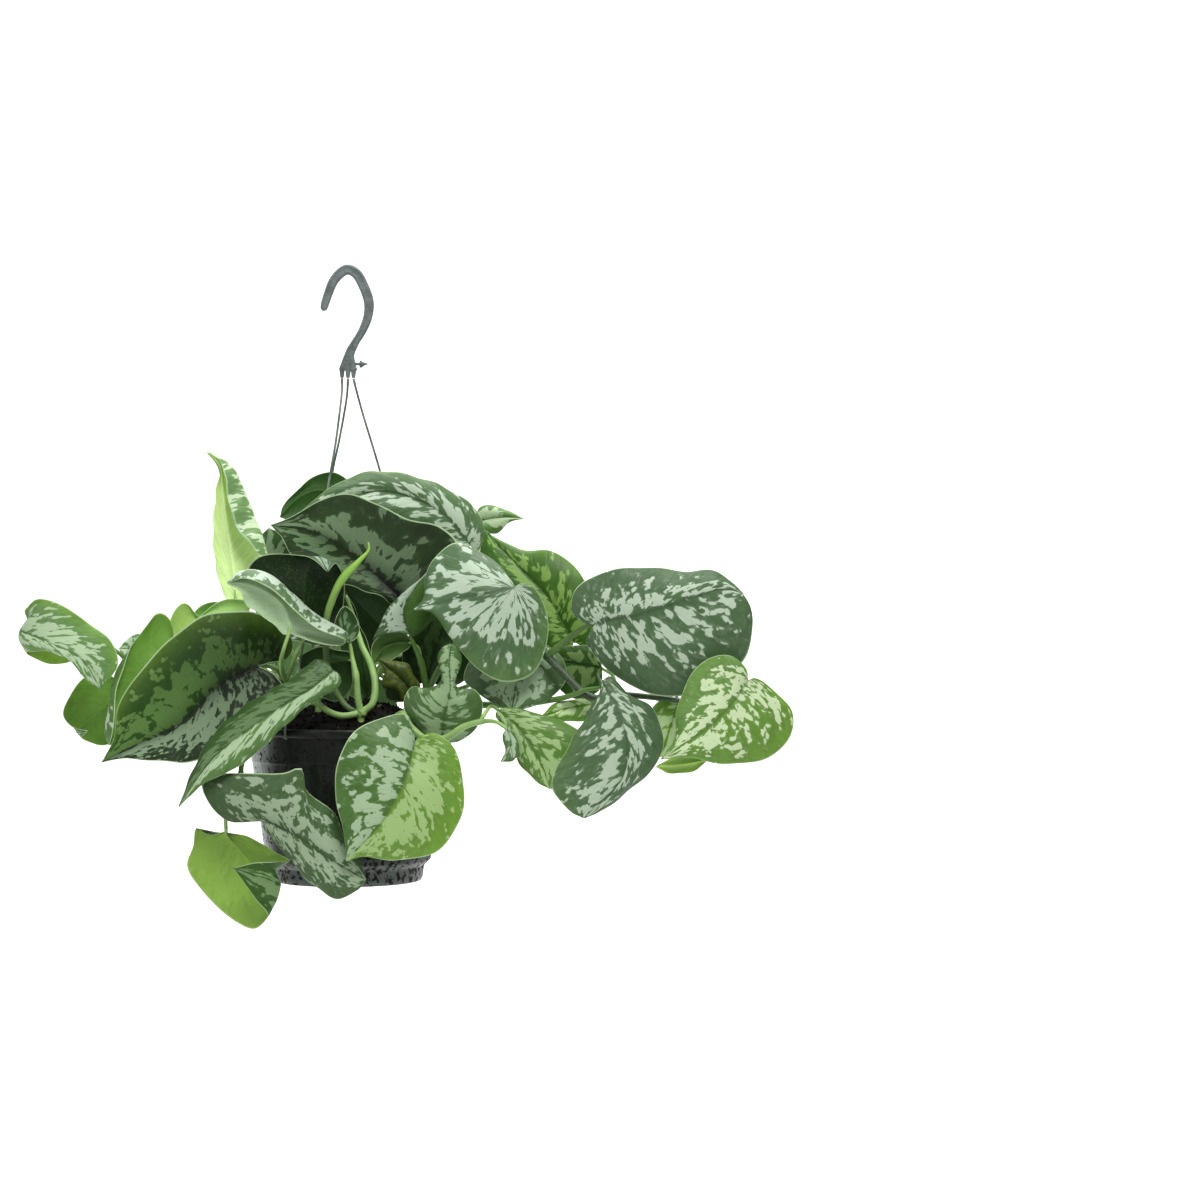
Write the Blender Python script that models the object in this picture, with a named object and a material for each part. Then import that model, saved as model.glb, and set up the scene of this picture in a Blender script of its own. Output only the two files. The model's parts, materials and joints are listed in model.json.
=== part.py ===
"""Satin pothos in its hanging nursery pot: hook, strands, pot, soil, vines and every leaf blade.

Lengths are in millimetres until a mesh is made, which is in metres. The origin is the inner top of the
hook, where it hangs. Outline points are (across, down, nearer): across and down as pixels of the front
picture, nearer as millimetres in front of the pot's axis.
"""
import math

import bmesh
import bpy
import numpy as np

MM = 0.001
GAP = 0.35

# The front picture: its scale at the pot's axis, the pixel of the hook's seat, and where it is seen from
MM_PER_PIXEL = 0.75
SEAT_ACROSS, SEAT_DOWN = 348.5, 274.7
VIEW_DISTANCE, VIEW_X, VIEW_Z = 2000.0, 188.6, -244.0

# Pot and soil
RIM_Z = -338.0
FLOOR_Z = -452.0
WALL = 1.4
POT_RADIUS = 73.0
POT_SEGMENTS = 30
HOLE_SIDES = 8
DRAIN_HOLES, DRAIN_RADIUS, DRAIN_CIRCLE = 5, 4.5, 34.0
SOIL_EDGE_Z, SOIL_CROWN = -345.0, 26.0

# Hanger: the hook's bar, the pixels of its three sockets, and each strand's way down to its clip
HOOK_DEPTH = 5.6
NUBS_ACROSS = (342, 348, 353.5)
NUB_DOWN = 378
STRAND_RADIUS = 0.9
CLIP_ANGLES = (240, 120, 0)
CLIP = ((78.7, -326.0), (78.9, -336.0), (78.9, -341.0), (78.3, -344.2), (75.9, -344.6))
STRANDS = (
    [(342, 390, 2), (340, 409, 4), (336, 440, 9), (328, 487, 17), (320, 540, 24), (311, 595, 33), (302, 650, 44),
     (292, 695, 58)],
    [(347, 395, -3), (343, 420, -8), (338, 446, -13), (333, 469, -18), (323, 560, -38)],
    [(356.5, 391, 0), (364, 418, 0), (372, 444, 0), (380, 471, 0), (417, 600, 0)],
)

# Leaves and vines
BLADE_THICKNESS = 0.8
SINUS = 1.3
VEIN_SWEEP = 1.8
FOLD_AT = 0.62
ROW_STEP, FEWEST_ROWS, MOST_ROWS = 14.0, 4, 8
PLAIN_COLUMNS = 2
CURLED_GRID = (12, 3)
STEM_SIDES = 6
STEM_STEP = 13.0
ROOT_STRAIGHT = 5.0
PETIOLE_END = 1.0
PETIOLE_GAP = 0.3
PETIOLE_REACH = 0.03
NEW_LEAF_RADIUS, NEW_LEAF_TIP = 3.1, 0.5
ROOT_DEPTH = 13.0
ROOT_LEVEL = 700

LEAF_GREEN = (0.07, 0.17, 0.06)
STEM_GREEN = (0.27, 0.42, 0.12)
POT_BLACK = (0.016, 0.018, 0.017)
SOIL_BLACK = (0.009, 0.007, 0.005)
HANGER_GREY = (0.11, 0.13, 0.13)


def leaf(rib, left, right, under=False, left_fold=None, right_fold=None, bow=3.0, curled=False):
    """One blade: its rib from base to tip and its margins, left and right as seen walking along the rib.

    under means that the picture shows the underside, and a fold is a line that the half rolls over.
    """
    if under:
        left, right, left_fold, right_fold = right, left, right_fold, left_fold
    return dict(rib=rib, left=left, right=right, left_fold=left_fold, right_fold=right_fold, bow=bow, curled=curled)


LEAVES = {
    "leaf_far_left": leaf(
        rib=[(60, 636, 8), (20, 630, 20), (50, 643, 40), (82, 660, 46), (101, 689, 40)],
        left=[(64, 613, 5), (44, 606, 7), (27, 607, 14), (24, 611, 22), (38, 599, 32), (62, 605, 38), (90, 624, 40),
              (111, 641, 42), (118, 664, 42)],
        right=[(72, 660, 6), (50, 664, 8), (27, 654, 15), (33, 651, 31), (58, 654, 40), (74, 664, 46), (88, 682, 44)],
        curled=True),
    "leaf_low_left": leaf(
        rib=[(128, 692, 12), (104, 708, 17), (84, 724, 18), (76, 732, 22), (88, 731, 28)],
        left=[(124, 730, 10), (106, 745, 13), (90, 743, 16), (82, 738, 21)],
        right=[(112, 676, 8), (85, 677, 12), (68, 699, 14), (63, 714, 16), (70, 726, 20)],
        under=True, curled=True),
    "leaf_left_behind": leaf(
        rib=[(172, 650, 22), (146, 676, 26), (123, 712, 32), (109, 745, 40)],
        left=[(190, 672, 24), (178, 705, 28), (150, 730, 30), (122, 744, 34)],
        right=[(174, 632, 19), (167, 616, 20), (158, 613, 21), (147, 624, 23), (132, 647, 27), (123, 668, 34),
               (115, 702, 44), (113, 733, 50)],
        right_fold=[(173, 640, 19), (168, 630, 20), (161, 629, 21), (152, 637, 22), (139, 652, 26),
                    (119, 669, 30), (111, 702, 36), (106, 735, 42)],
        under=True, curled=True),
    "leaf_left_lobe": leaf(
        rib=[(228, 645, 2), (198, 632, 6), (176, 640, 9), (156, 660, 11)],
        left=[(215, 665, 6), (190, 672, 9), (168, 671, 11)],
        right=[(222, 628, 0), (198, 615, 2), (184, 603, 2), (174, 611, 4), (165, 634, 8)],
        under=True),
    "leaf_left_edge": leaf(
        rib=[(240, 632, -16), (212, 622, -14), (186, 625, -12)],
        left=[(225, 645, -12), (200, 645, -12)],
        right=[(232, 606, -18), (214, 602, -16), (198, 608, -16)],
        under=True),
    "leaf_left_pale": leaf(
        rib=[(247, 617, 28), (225, 612, 28), (199, 617, 30)],
        left=[(236, 625, 30), (215, 624, 30)],
        right=[(249, 602, 24), (230, 599, 25), (212, 606, 28)],
        under=True),
    "leaf_left_big": leaf(
        rib=[(258, 666, 48), (224, 682, 50), (176, 726, 54), (130, 748, 54), (102, 762, 46)],
        left=[(275, 676, 52), (286, 693, 56), (262, 722, 62), (228, 750, 66), (190, 762, 66), (145, 760, 60),
              (118, 759, 52)],
        right=[(272, 662, 46), (287, 659, 41), (293, 645, 41), (287, 631, 45), (268, 618, 58), (245, 611, 74),
               (206, 615, 74), (176, 634, 70), (142, 669, 64), (118, 706, 56), (114, 738, 52), (106, 754, 48)],
        bow=-3.0),
    "leaf_left_long": leaf(
        rib=[(333, 671, 68), (314, 687, 75), (288, 703, 80), (252, 727, 86), (215, 757, 88), (190, 790, 84),
             (179, 807, 80)],
        left=[(339, 674, 66), (341, 681, 66), (335, 690, 70), (318, 699, 76), (290, 721, 84), (262, 748, 88),
              (236, 768, 90), (205, 783, 88), (190, 796, 84)],
        right=[(327, 663, 64), (317, 659, 66), (306, 667, 69), (285, 682, 70), (247, 704, 72), (215, 732, 75),
               (198, 759, 79), (186, 787, 80)]),
    "leaf_drape": leaf(
        rib=[(266, 820, 92), (300, 838, 98), (334, 862, 92), (366, 880, 88)],
        left=[(248, 821, 88), (228, 821, 83), (210, 806, 80), (202, 783, 78), (216, 775, 81), (240, 773, 87),
              (285, 773, 96), (301, 768, 98), (307, 790, 96), (334, 813, 90), (345, 840, 86), (360, 862, 86)],
        right=[(264, 828, 90), (280, 848, 92), (300, 872, 90), (318, 889, 88), (338, 899, 86), (358, 890, 86)],
        curled=True),
    "leaf_front": leaf(
        rib=[(414, 745, 84), (406, 778, 100), (382, 822, 106), (346, 861, 100)],
        left=[(418, 738, 82), (434, 733, 84), (452, 745, 84), (463, 778, 86), (461, 818, 90), (436, 852, 96),
              (395, 860, 100), (362, 857, 100)],
        right=[(414, 732, 82), (408, 716, 80), (388, 716, 86), (352, 734, 96), (337, 766, 100), (335, 794, 102),
               (342, 825, 102), (345, 845, 101)]),
    "leaf_lowest": leaf(
        rib=[(224, 832, 62), (240, 850, 66), (262, 876, 72), (281, 884, 80), (262, 877, 88), (233, 868, 92)],
        left=[(236, 834, 62), (252, 838, 64), (270, 849, 68), (289, 860, 76), (284, 862, 83), (262, 862, 90)],
        right=[(214, 835, 61), (206, 834, 59), (196, 828, 57), (193, 846, 58), (187, 866, 60), (203, 892, 64),
               (233, 920, 70), (255, 929, 74), (268, 916, 80), (256, 900, 86), (243, 881, 90)],
        under=True, curled=True),
    "leaf_upright": leaf(
        rib=[(236, 604, 0), (233, 570, -4), (226, 520, -8), (222, 484, -10), (219, 464, -8), (206, 452, -4)],
        left=[(226, 598, 0), (216, 568, -2), (213, 530, -6), (216, 490, -8), (219, 468, -8)],
        right=[(250, 600, 2), (262, 575, 4), (257, 552, 8), (240, 533, 6), (230, 508, 4), (225, 478, 0),
               (220, 461, -4)],
        right_fold=[(252, 598, -2), (266, 572, -4), (262, 544, -6), (250, 512, -10), (240, 486, -12),
                    (230, 466, -12), (216, 455, -8)],
        under=True, curled=True),
    "leaf_top_left": leaf(
        rib=[(345, 500, -3), (320, 490, -6), (298, 498, -3), (280, 517, 4)],
        left=[(338, 520, 1), (315, 528, 2), (292, 523, 4)],
        right=[(350, 484, -8), (334, 472, -10), (313, 477, -10), (295, 492, -6), (282, 508, 0)],
        under=True),
    "leaf_top": leaf(
        rib=[(470, 545, -10), (440, 512, 0), (385, 492, 12), (330, 503, 26), (296, 518, 32)],
        left=[(460, 552, -4), (430, 545, 2), (390, 525, 16), (350, 512, 27), (315, 515, 32)],
        right=[(478, 552, -16), (484, 530, -22), (478, 512, -24), (450, 490, -16), (405, 474, 2), (366, 472, 13),
               (330, 488, 25), (308, 505, 30)]),
    "leaf_crown": leaf(
        rib=[(400, 598, 16), (372, 572, 16), (345, 550, 22), (315, 532, 31), (271, 525, 42)],
        left=[(392, 604, 18), (382, 597, 24), (350, 586, 33), (318, 575, 38), (293, 557, 40), (281, 537, 41)],
        right=[(415, 600, 20), (445, 580, 26), (460, 548, 28), (440, 527, 27), (405, 518, 29), (375, 503, 33),
               (350, 494, 36), (318, 501, 38), (292, 517, 40)],
        bow=-3.0),
    "leaf_centre_under": leaf(
        rib=[(306, 637, 52), (304, 600, 49), (308, 572, 47), (317, 556, 50), (328, 572, 56)],
        left=[(292, 634, 54), (268, 612, 54), (245, 578, 54), (256, 558, 50), (290, 554, 47), (310, 558, 54)],
        right=[(320, 640, 46), (338, 625, 38), (344, 602, 37), (344, 580, 41), (336, 563, 50)],
        under=True, curled=True),
    "leaf_centre_grey": leaf(
        rib=[(290, 634, 62), (283, 606, 61), (262, 590, 62), (240, 583, 64), (227, 583, 66)],
        left=[(284, 634, 64), (266, 618, 65), (248, 607, 66), (240, 592, 66)],
        right=[(315, 642, 61), (342, 646, 58), (346, 640, 61), (318, 630, 65), (293, 608, 69), (268, 588, 71),
               (245, 578, 69)],
        right_fold=[(315, 638, 56), (340, 641, 53), (346, 634, 53), (316, 616, 56), (292, 594, 58),
                    (266, 574, 61), (242, 571, 63)],
        under=True, curled=True),
    "leaf_small_cup": leaf(
        rib=[(350, 643, 45), (344, 628, 43), (342, 616, 43), (345, 606, 46)],
        left=[(342, 640, 44), (336, 630, 46), (336, 618, 47), (340, 609, 47)],
        right=[(356, 638, 45), (359, 627, 45), (355, 614, 45)],
        bow=-2.0),
    "leaf_inner_hanging": leaf(
        rib=[(345, 592, 2), (356, 625, 6), (364, 660, 10), (368, 700, 14)],
        left=[(352, 602, 2), (362, 630, 4), (372, 655, 8), (378, 682, 12)],
        right=[(338, 605, 2), (338, 635, 4), (345, 665, 8), (356, 690, 12)],
        under=True),
    "leaf_inner_left": leaf(
        rib=[(352, 660, 26), (335, 662, 28), (318, 668, 30), (302, 676, 32)],
        left=[(350, 690, 24), (336, 702, 25), (320, 696, 27), (306, 690, 30)],
        right=[(350, 652, 26), (335, 650, 26), (318, 647, 28), (300, 657, 30)],
        under=True),
    "leaf_centre_silver": leaf(
        rib=[(411, 637, 32), (404, 620, 34), (406, 603, 34), (416, 586, 32), (430, 570, 28)],
        left=[(403, 629, 34), (388, 630, 36), (373, 640, 38), (381, 622, 36), (392, 604, 33), (405, 591, 30),
              (420, 582, 28)],
        right=[(421, 632, 28), (433, 620, 26), (438, 600, 26), (437, 582, 26)]),
    "leaf_centre_lobe": leaf(
        rib=[(412, 643, 24), (398, 643, 27), (384, 648, 29), (373, 664, 31)],
        left=[(407, 650, 25), (394, 658, 28), (380, 665, 30)],
        right=[(405, 634, 25), (389, 632, 28), (375, 641, 30), (371, 654, 31)],
        under=True),
    "leaf_right_big": leaf(
        rib=[(514, 588, 58), (490, 592, 64), (455, 599, 64), (430, 605, 60), (414, 610, 56)],
        left=[(520, 584, 56), (532, 586, 54), (546, 610, 54), (547, 640, 56), (534, 673, 60), (505, 682, 64),
              (475, 667, 66), (450, 636, 64), (432, 613, 60)],
        right=[(512, 582, 54), (500, 567, 46), (478, 550, 40), (453, 544, 40), (434, 558, 44), (425, 580, 48),
               (422, 600, 52)]),
    "leaf_right_back": leaf(
        rib=[(574, 642, 20), (548, 598, 16), (518, 566, 8), (485, 531, -4)],
        left=[(560, 651, 20), (530, 640, 20), (503, 600, 14), (480, 562, 2)],
        right=[(590, 648, 22), (600, 612, 20), (583, 578, 14), (567, 559, 9), (550, 551, 6), (520, 549, 2),
               (500, 540, -2)]),
    "leaf_right_tip": leaf(
        rib=[(474, 522, -64), (500, 518, -64), (524, 519, -62)],
        left=[(480, 508, -66), (494, 505, -66), (510, 512, -64)],
        right=[(484, 532, -62), (497, 534, -62), (508, 523, -62)]),
    "leaf_far_right": leaf(
        rib=[(597, 623, 74), (640, 614, 82), (690, 598, 84), (725, 589, 80), (743, 594, 76)],
        left=[(588, 624, 72), (572, 612, 70), (574, 592, 70), (598, 574, 70), (640, 567, 72), (685, 571, 74),
              (715, 571, 76), (732, 582, 76)],
        right=[(590, 632, 72), (586, 642, 70), (600, 662, 70), (633, 687, 72), (675, 697, 74), (715, 684, 74),
               (745, 658, 74), (753, 624, 76), (750, 606, 76)]),
    "leaf_lime_right": leaf(
        rib=[(748, 681, 90), (733, 702, 96), (710, 726, 98), (682, 746, 96), (661, 759, 92)],
        left=[(755, 678, 90), (776, 692, 88), (792, 712, 88), (790, 738, 90), (765, 759, 92), (725, 764, 94),
              (690, 758, 94)],
        right=[(746, 668, 90), (730, 656, 90), (707, 659, 88), (688, 680, 88), (677, 710, 88), (674, 740, 88),
               (668, 752, 90)]),
    "leaf_lime_flap": leaf(
        rib=[(708, 760, 82), (685, 764, 82), (656, 767, 82)],
        left=[(695, 770, 82), (672, 774, 82)],
        right=[(692, 755, 82), (672, 757, 82)],
        under=True),
    "leaf_hanging_right": leaf(
        rib=[(602, 681, 86), (618, 712, 94), (628, 748, 100), (618, 784, 100), (584, 818, 96)],
        left=[(610, 676, 84), (628, 694, 84), (650, 706, 82), (663, 734, 84), (658, 762, 86), (637, 784, 90),
              (612, 804, 94), (596, 814, 95)],
        right=[(597, 673, 84), (600, 690, 86), (586, 716, 88), (564, 754, 90), (551, 784, 92), (560, 801, 94),
               (572, 813, 95)]),
    "leaf_lime_left": leaf(
        rib=[(498, 710, 58), (520, 730, 64), (538, 758, 68), (550, 789, 68)],
        left=[(506, 708, 58), (530, 711, 58), (560, 721, 58), (584, 735, 62), (582, 762, 66), (566, 782, 68)],
        right=[(496, 716, 58), (505, 730, 60), (513, 750, 62), (522, 767, 64), (537, 782, 66)]),
    "leaf_under_right": leaf(
        rib=[(520, 645, 32), (518, 672, 41), (512, 712, 50)],
        left=[(535, 640, 28), (560, 655, 33), (566, 680, 38), (548, 700, 44), (528, 708, 48)],
        right=[(505, 642, 28), (480, 650, 30), (463, 678, 34), (479, 694, 41), (496, 705, 47)]),
    "leaf_lime_behind": leaf(
        rib=[(602, 668, 36), (575, 663, 32), (550, 660, 26)],
        left=[(600, 690, 36), (578, 699, 33), (556, 686, 27)],
        right=[(598, 650, 34), (570, 645, 30), (555, 651, 26)]),
    "leaf_lime_low": leaf(
        rib=[(596, 704, 44), (570, 708, 46), (541, 717, 44)],
        left=[(590, 718, 46), (568, 722, 46), (552, 720, 44)],
        right=[(588, 699, 42), (565, 701, 42), (550, 707, 42)]),
    "leaf_lime_between": leaf(
        rib=[(680, 700, 60), (672, 722, 62), (661, 757, 62)],
        left=[(692, 712, 58), (690, 735, 58), (676, 750, 60)],
        right=[(660, 700, 60), (645, 720, 60), (645, 742, 60)]),
    "leaf_swirl": leaf(
        rib=[(442, 741, 66), (444, 716, 70), (450, 694, 70), (449, 670, 68), (451, 644, 64)],
        left=[(425, 736, 64), (409, 719, 64), (404, 701, 62), (412, 686, 60), (430, 689, 61), (441, 681, 62),
              (438, 667, 62), (438, 655, 63), (445, 646, 64)],
        right=[(458, 742, 66), (476, 728, 64), (483, 702, 62), (474, 690, 62), (459, 689, 62), (456, 680, 62),
               (460, 667, 62), (461, 655, 63), (457, 646, 64)],
        curled=True),
    "leaf_old": leaf(
        rib=[(412, 692, 32), (398, 676, 34), (378, 660, 34)],
        left=[(402, 702, 32), (395, 690, 33), (382, 686, 34), (384, 671, 34)],
        right=[(421, 686, 31), (412, 674, 32), (408, 664, 33), (390, 660, 34)]),
    "leaf_small_tip": leaf(
        rib=[(507, 728, 70), (511, 745, 72), (501, 762, 72)],
        left=[(514, 733, 70), (519, 748, 72), (513, 761, 72)],
        right=[(503, 735, 70), (505, 750, 72)],
        bow=1.0),
    "leaf_inner_dark": leaf(
        rib=[(402, 650, -20), (376, 622, -20), (338, 580, -20)],
        left=[(418, 668, -14), (417, 696, -12), (397, 702, -12), (386, 698, -13), (387, 682, -14), (382, 667, -16),
              (360, 655, -17), (344, 620, -18)],
        right=[(408, 628, -26), (398, 594, -26), (365, 582, -24)],
        under=True),
    "leaf_inner_right": leaf(
        rib=[(427, 682, 15), (436, 652, 13), (446, 612, 9)],
        left=[(409, 683, 14), (403, 650, 12), (420, 622, 10)],
        right=[(455, 686, 15), (473, 670, 14), (476, 640, 11)]),
    "leaf_back_left_up": leaf(
        rib=[(350, 640, -46), (330, 618, -82), (308, 638, -120), (300, 688, -140)],
        left=[(330, 648, -56), (285, 640, -82), (268, 658, -115), (284, 690, -135)],
        right=[(368, 640, -50), (380, 628, -80), (358, 648, -118), (322, 688, -135)]),
    "leaf_back_right_up": leaf(
        rib=[(400, 630, -40), (420, 600, -75), (440, 610, -115), (450, 660, -140)],
        left=[(385, 625, -50), (378, 605, -85), (400, 612, -125), (430, 660, -138)],
        right=[(425, 640, -40), (465, 620, -70), (482, 625, -105), (468, 660, -130)]),
    "leaf_back_hanging": leaf(
        rib=[(355, 670, -72), (350, 708, -94), (345, 770, -100), (342, 820, -92)],
        left=[(382, 680, -76), (397, 702, -86), (390, 775, -92), (365, 805, -92)],
        right=[(332, 682, -76), (304, 722, -92), (308, 775, -94), (328, 808, -92)],
        under=True),
    "leaf_left_silver": leaf(
        rib=[(160, 661, -6), (140, 650, -4), (119, 649, -2)],
        left=[(154, 675, -2), (136, 668, 0), (124, 658, 0)],
        right=[(154, 642, -8), (139, 634, -7), (125, 641, -4)],
        bow=1.0),
    "leaf_back_low_right": leaf(
        rib=[(400, 690, -50), (425, 704, -68), (438, 745, -81), (442, 788, -82)],
        left=[(418, 688, -48), (438, 700, -60), (451, 742, -72), (452, 772, -76)],
        right=[(405, 704, -72), (414, 738, -89), (428, 772, -90)],
        under=True),
    "leaf_back_top": leaf(
        rib=[(400, 560, -62), (410, 520, -80), (415, 505, -110), (418, 530, -135)],
        left=[(385, 550, -66), (372, 525, -85), (380, 515, -115)],
        right=[(425, 555, -62), (448, 530, -80), (445, 520, -115)]),
    "leaf_back_left": leaf(
        rib=[(285, 636, -36), (272, 600, -34), (262, 565, -28), (269, 528, -16)],
        left=[(268, 630, -36), (250, 600, -38), (244, 570, -32), (254, 547, -24), (263, 533, -18)],
        right=[(300, 625, -30), (305, 590, -26), (298, 555, -20), (284, 535, -14)]),
    "leaf_back_right": leaf(
        rib=[(470, 650, -35), (505, 630, -62), (540, 640, -84), (560, 672, -92)],
        left=[(485, 625, -45), (520, 605, -75), (552, 625, -92)],
        right=[(482, 672, -38), (515, 675, -62), (545, 680, -80)],
        under=True),
}

# Each vine: where it stands in the soil (across, nearer), and its runs: radius, points, the leaf at the end.
# The first run comes out of the soil there, and the others start inside an earlier one.
VINES = {
    "vine_front": ((361, 50), [
        (2.7, [(358, 700, 52), (356, 675, 50), (352, 656, 43)], "leaf_small_cup"),
        (2.6, [(361, 713, 50), (372, 704, 50), (375, 686, 46), (371, 665, 37), (362, 646, 26), (352, 612, 12)],
         "leaf_inner_hanging"),
        (2.5, [(361, 713, 50), (342, 716, 55), (326, 710, 60), (316, 699, 65), (318, 687, 66), (327, 678, 65)],
         "leaf_left_long"),
        (1.4, [(356, 675, 50), (355, 668, 38), (354, 664, 32)], "leaf_inner_left"),
        (2.3, [(361, 713, 50), (348, 708, 42), (335, 690, 40), (327, 665, 42), (326, 645, 45), (326, 622, 49),
               (333, 598, 49), (343, 578, 48), (358, 562, 46), (369, 549, 43), (368, 542, 42)], None),
    ]),
    "vine_left": ((300, 8), [
        (2.3, [(290, 694, 18), (283, 678, 30)], None),
        (2.0, [(285, 682, 27), (281, 664, 48), (284, 648, 64)], "leaf_centre_grey"),
        (2.1, [(285, 682, 27), (276, 669, 40), (267, 666, 43)], "leaf_left_big"),
        (1.9, [(285, 682, 27), (291, 669, 39), (297, 652, 53)], "leaf_centre_under"),
        (1.9, [(285, 682, 27), (262, 692, 22), (230, 703, 12), (190, 703, 4), (150, 690, 4), (130, 668, 12),
               (121, 655, 22), (98, 640, 20)], "leaf_far_left"),
        (1.4, [(150, 690, 4), (139, 690, 14)], "leaf_low_left"),
        (1.3, [(190, 703, 4), (178, 690, -4), (168, 672, -8)], "leaf_left_silver"),
        (1.5, [(262, 692, 22), (225, 686, 24), (194, 668, 30)], "leaf_left_behind"),
        (1.7, [(285, 682, 27), (262, 668, 14), (244, 656, 5)], "leaf_left_lobe"),
        (1.4, [(262, 668, 14), (256, 655, 0), (250, 640, -10)], "leaf_left_edge"),
        (1.5, [(285, 682, 27), (270, 652, 28), (258, 630, 31)], "leaf_left_pale"),
        (1.6, [(262, 668, 14), (253, 642, 9), (243, 620, 5)], "leaf_upright"),
    ]),
    "vine_crown": ((365, -5), [
        (2.4, [(370, 686, -5), (392, 653, -3), (404, 622, 7)], "leaf_crown"),
        (2.3, [(392, 653, -3), (420, 640, -16), (450, 600, -20), (464, 567, -18)], "leaf_top"),
        (1.4, [(450, 600, -20), (472, 572, -42), (481, 542, -68)], "leaf_right_tip"),
        (1.4, [(392, 653, -3), (400, 656, -12)], "leaf_inner_dark"),
        (1.9, [(370, 686, -5), (370, 668, -26), (372, 640, -35), (366, 590, -32), (364, 550, -12),
               (355, 513, 4)],
         "leaf_top_left"),
        (1.6, [(366, 590, -32), (390, 582, -56)], "leaf_back_top"),
    ]),
    "vine_right": ((415, 15), [
        (2.5, [(422, 700, 22), (429, 688, 27)], None),
        (2.5, [(427, 692, 25), (421, 662, 29), (415, 647, 29)], "leaf_centre_silver"),
        (1.3, [(421, 662, 29), (418, 648, 25)], "leaf_centre_lobe"),
        (1.4, [(422, 700, 22), (428, 690, 13)], "leaf_inner_right"),
        (1.4, [(422, 700, 22), (418, 699, 28)], "leaf_old"),
        (2.1, [(418, 706, 18), (424, 708, 34), (433, 719, 52), (439, 732, 60)], "leaf_swirl"),
        (2.5, [(427, 692, 25), (441, 666, 25), (462, 636, 31), (476, 627, 36), (492, 612, 44), (506, 600, 50)],
         "leaf_right_big"),
        (2.9, [(476, 627, 36), (498, 629, 41), (522, 632, 43), (540, 646, 46), (547, 656, 48), (565, 675, 52),
               (590, 697, 58), (622, 695, 63), (660, 698, 68), (700, 702, 75), (730, 694, 82)],
         "leaf_lime_right"),
        (2.7, [(547, 656, 48), (562, 644, 54), (578, 631, 63), (589, 625, 68)], "leaf_far_right"),
        (1.7, [(427, 692, 25), (444, 692, 14), (462, 688, 8), (480, 680, 0), (500, 668, -2), (545, 658, 3),
               (569, 653, 11)], "leaf_right_back"),
        (1.4, [(500, 668, -2), (512, 658, 18)], "leaf_under_right"),
        (2.8, [(422, 700, 22), (450, 703, 34), (490, 705, 36), (520, 704, 37), (546, 701, 39), (570, 696, 52),
               (586, 690, 62), (598, 688, 74)], "leaf_hanging_right"),
        (1.4, [(590, 697, 58), (604, 700, 50), (605, 706, 43)], "leaf_lime_low"),
        (1.4, [(622, 695, 63), (616, 690, 46), (613, 676, 34)], "leaf_lime_behind"),
        (1.4, [(660, 698, 68), (671, 688, 58)], "leaf_lime_between"),
        (1.4, [(700, 702, 75), (712, 725, 80), (716, 748, 80)], "leaf_lime_flap"),
    ]),
    "vine_trailing": ((395, 47), [
        (2.5, [(402, 714, 64), (408, 726, 77)], "leaf_front"),
        (2.9, [(402, 714, 64), (412, 729, 75), (428, 740, 77), (446, 738, 78), (463, 727, 78), (480, 722, 77),
               (496, 722, 67)], "leaf_small_tip"),
        (1.5, [(480, 722, 77), (486, 712, 63), (492, 706, 50)], "leaf_lime_left"),
    ]),
    "vine_low": ((318, 33), [
        (2.4, [(300, 702, 31), (282, 703, 37), (268, 711, 47), (261, 728, 58), (253, 742, 68), (243, 760, 76),
               (241, 774, 79), (247, 797, 82), (258, 814, 86)], "leaf_drape"),
        (2.1, [(241, 774, 79), (234, 790, 74), (226, 812, 68)], "leaf_lowest"),
    ]),
    "vine_back": ((350, -42), [
        (2.4, [(351, 690, -46), (351, 660, -48)], "leaf_back_left_up"),
        (1.9, [(351, 690, -46), (375, 672, -46), (393, 648, -43)], "leaf_back_right_up"),
        (1.9, [(351, 690, -46), (354, 682, -58)], "leaf_back_hanging"),
        (1.8, [(351, 690, -46), (320, 678, -38), (302, 664, -38), (291, 650, -42)], "leaf_back_left"),
        (1.8, [(375, 672, -46), (430, 668, -34), (458, 659, -26)], "leaf_back_right"),
        (1.6, [(375, 672, -46), (393, 683, -40)], "leaf_back_low_right"),
    ]),
}


# Curves and surfaces

def real(points):
    """Picture points, (across, down, nearer), as places in millimetres."""
    across, down, nearer = np.asarray(points, float).T
    scale = (VIEW_DISTANCE - nearer) / VIEW_DISTANCE
    x = VIEW_X + ((across - SEAT_ACROSS) * MM_PER_PIXEL - VIEW_X) * scale
    z = VIEW_Z + ((SEAT_DOWN - down) * MM_PER_PIXEL - VIEW_Z) * scale
    return np.stack([x, -nearer, z], axis=-1)


def unit(vectors):
    return vectors / np.linalg.norm(vectors, axis=-1, keepdims=True)


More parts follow.
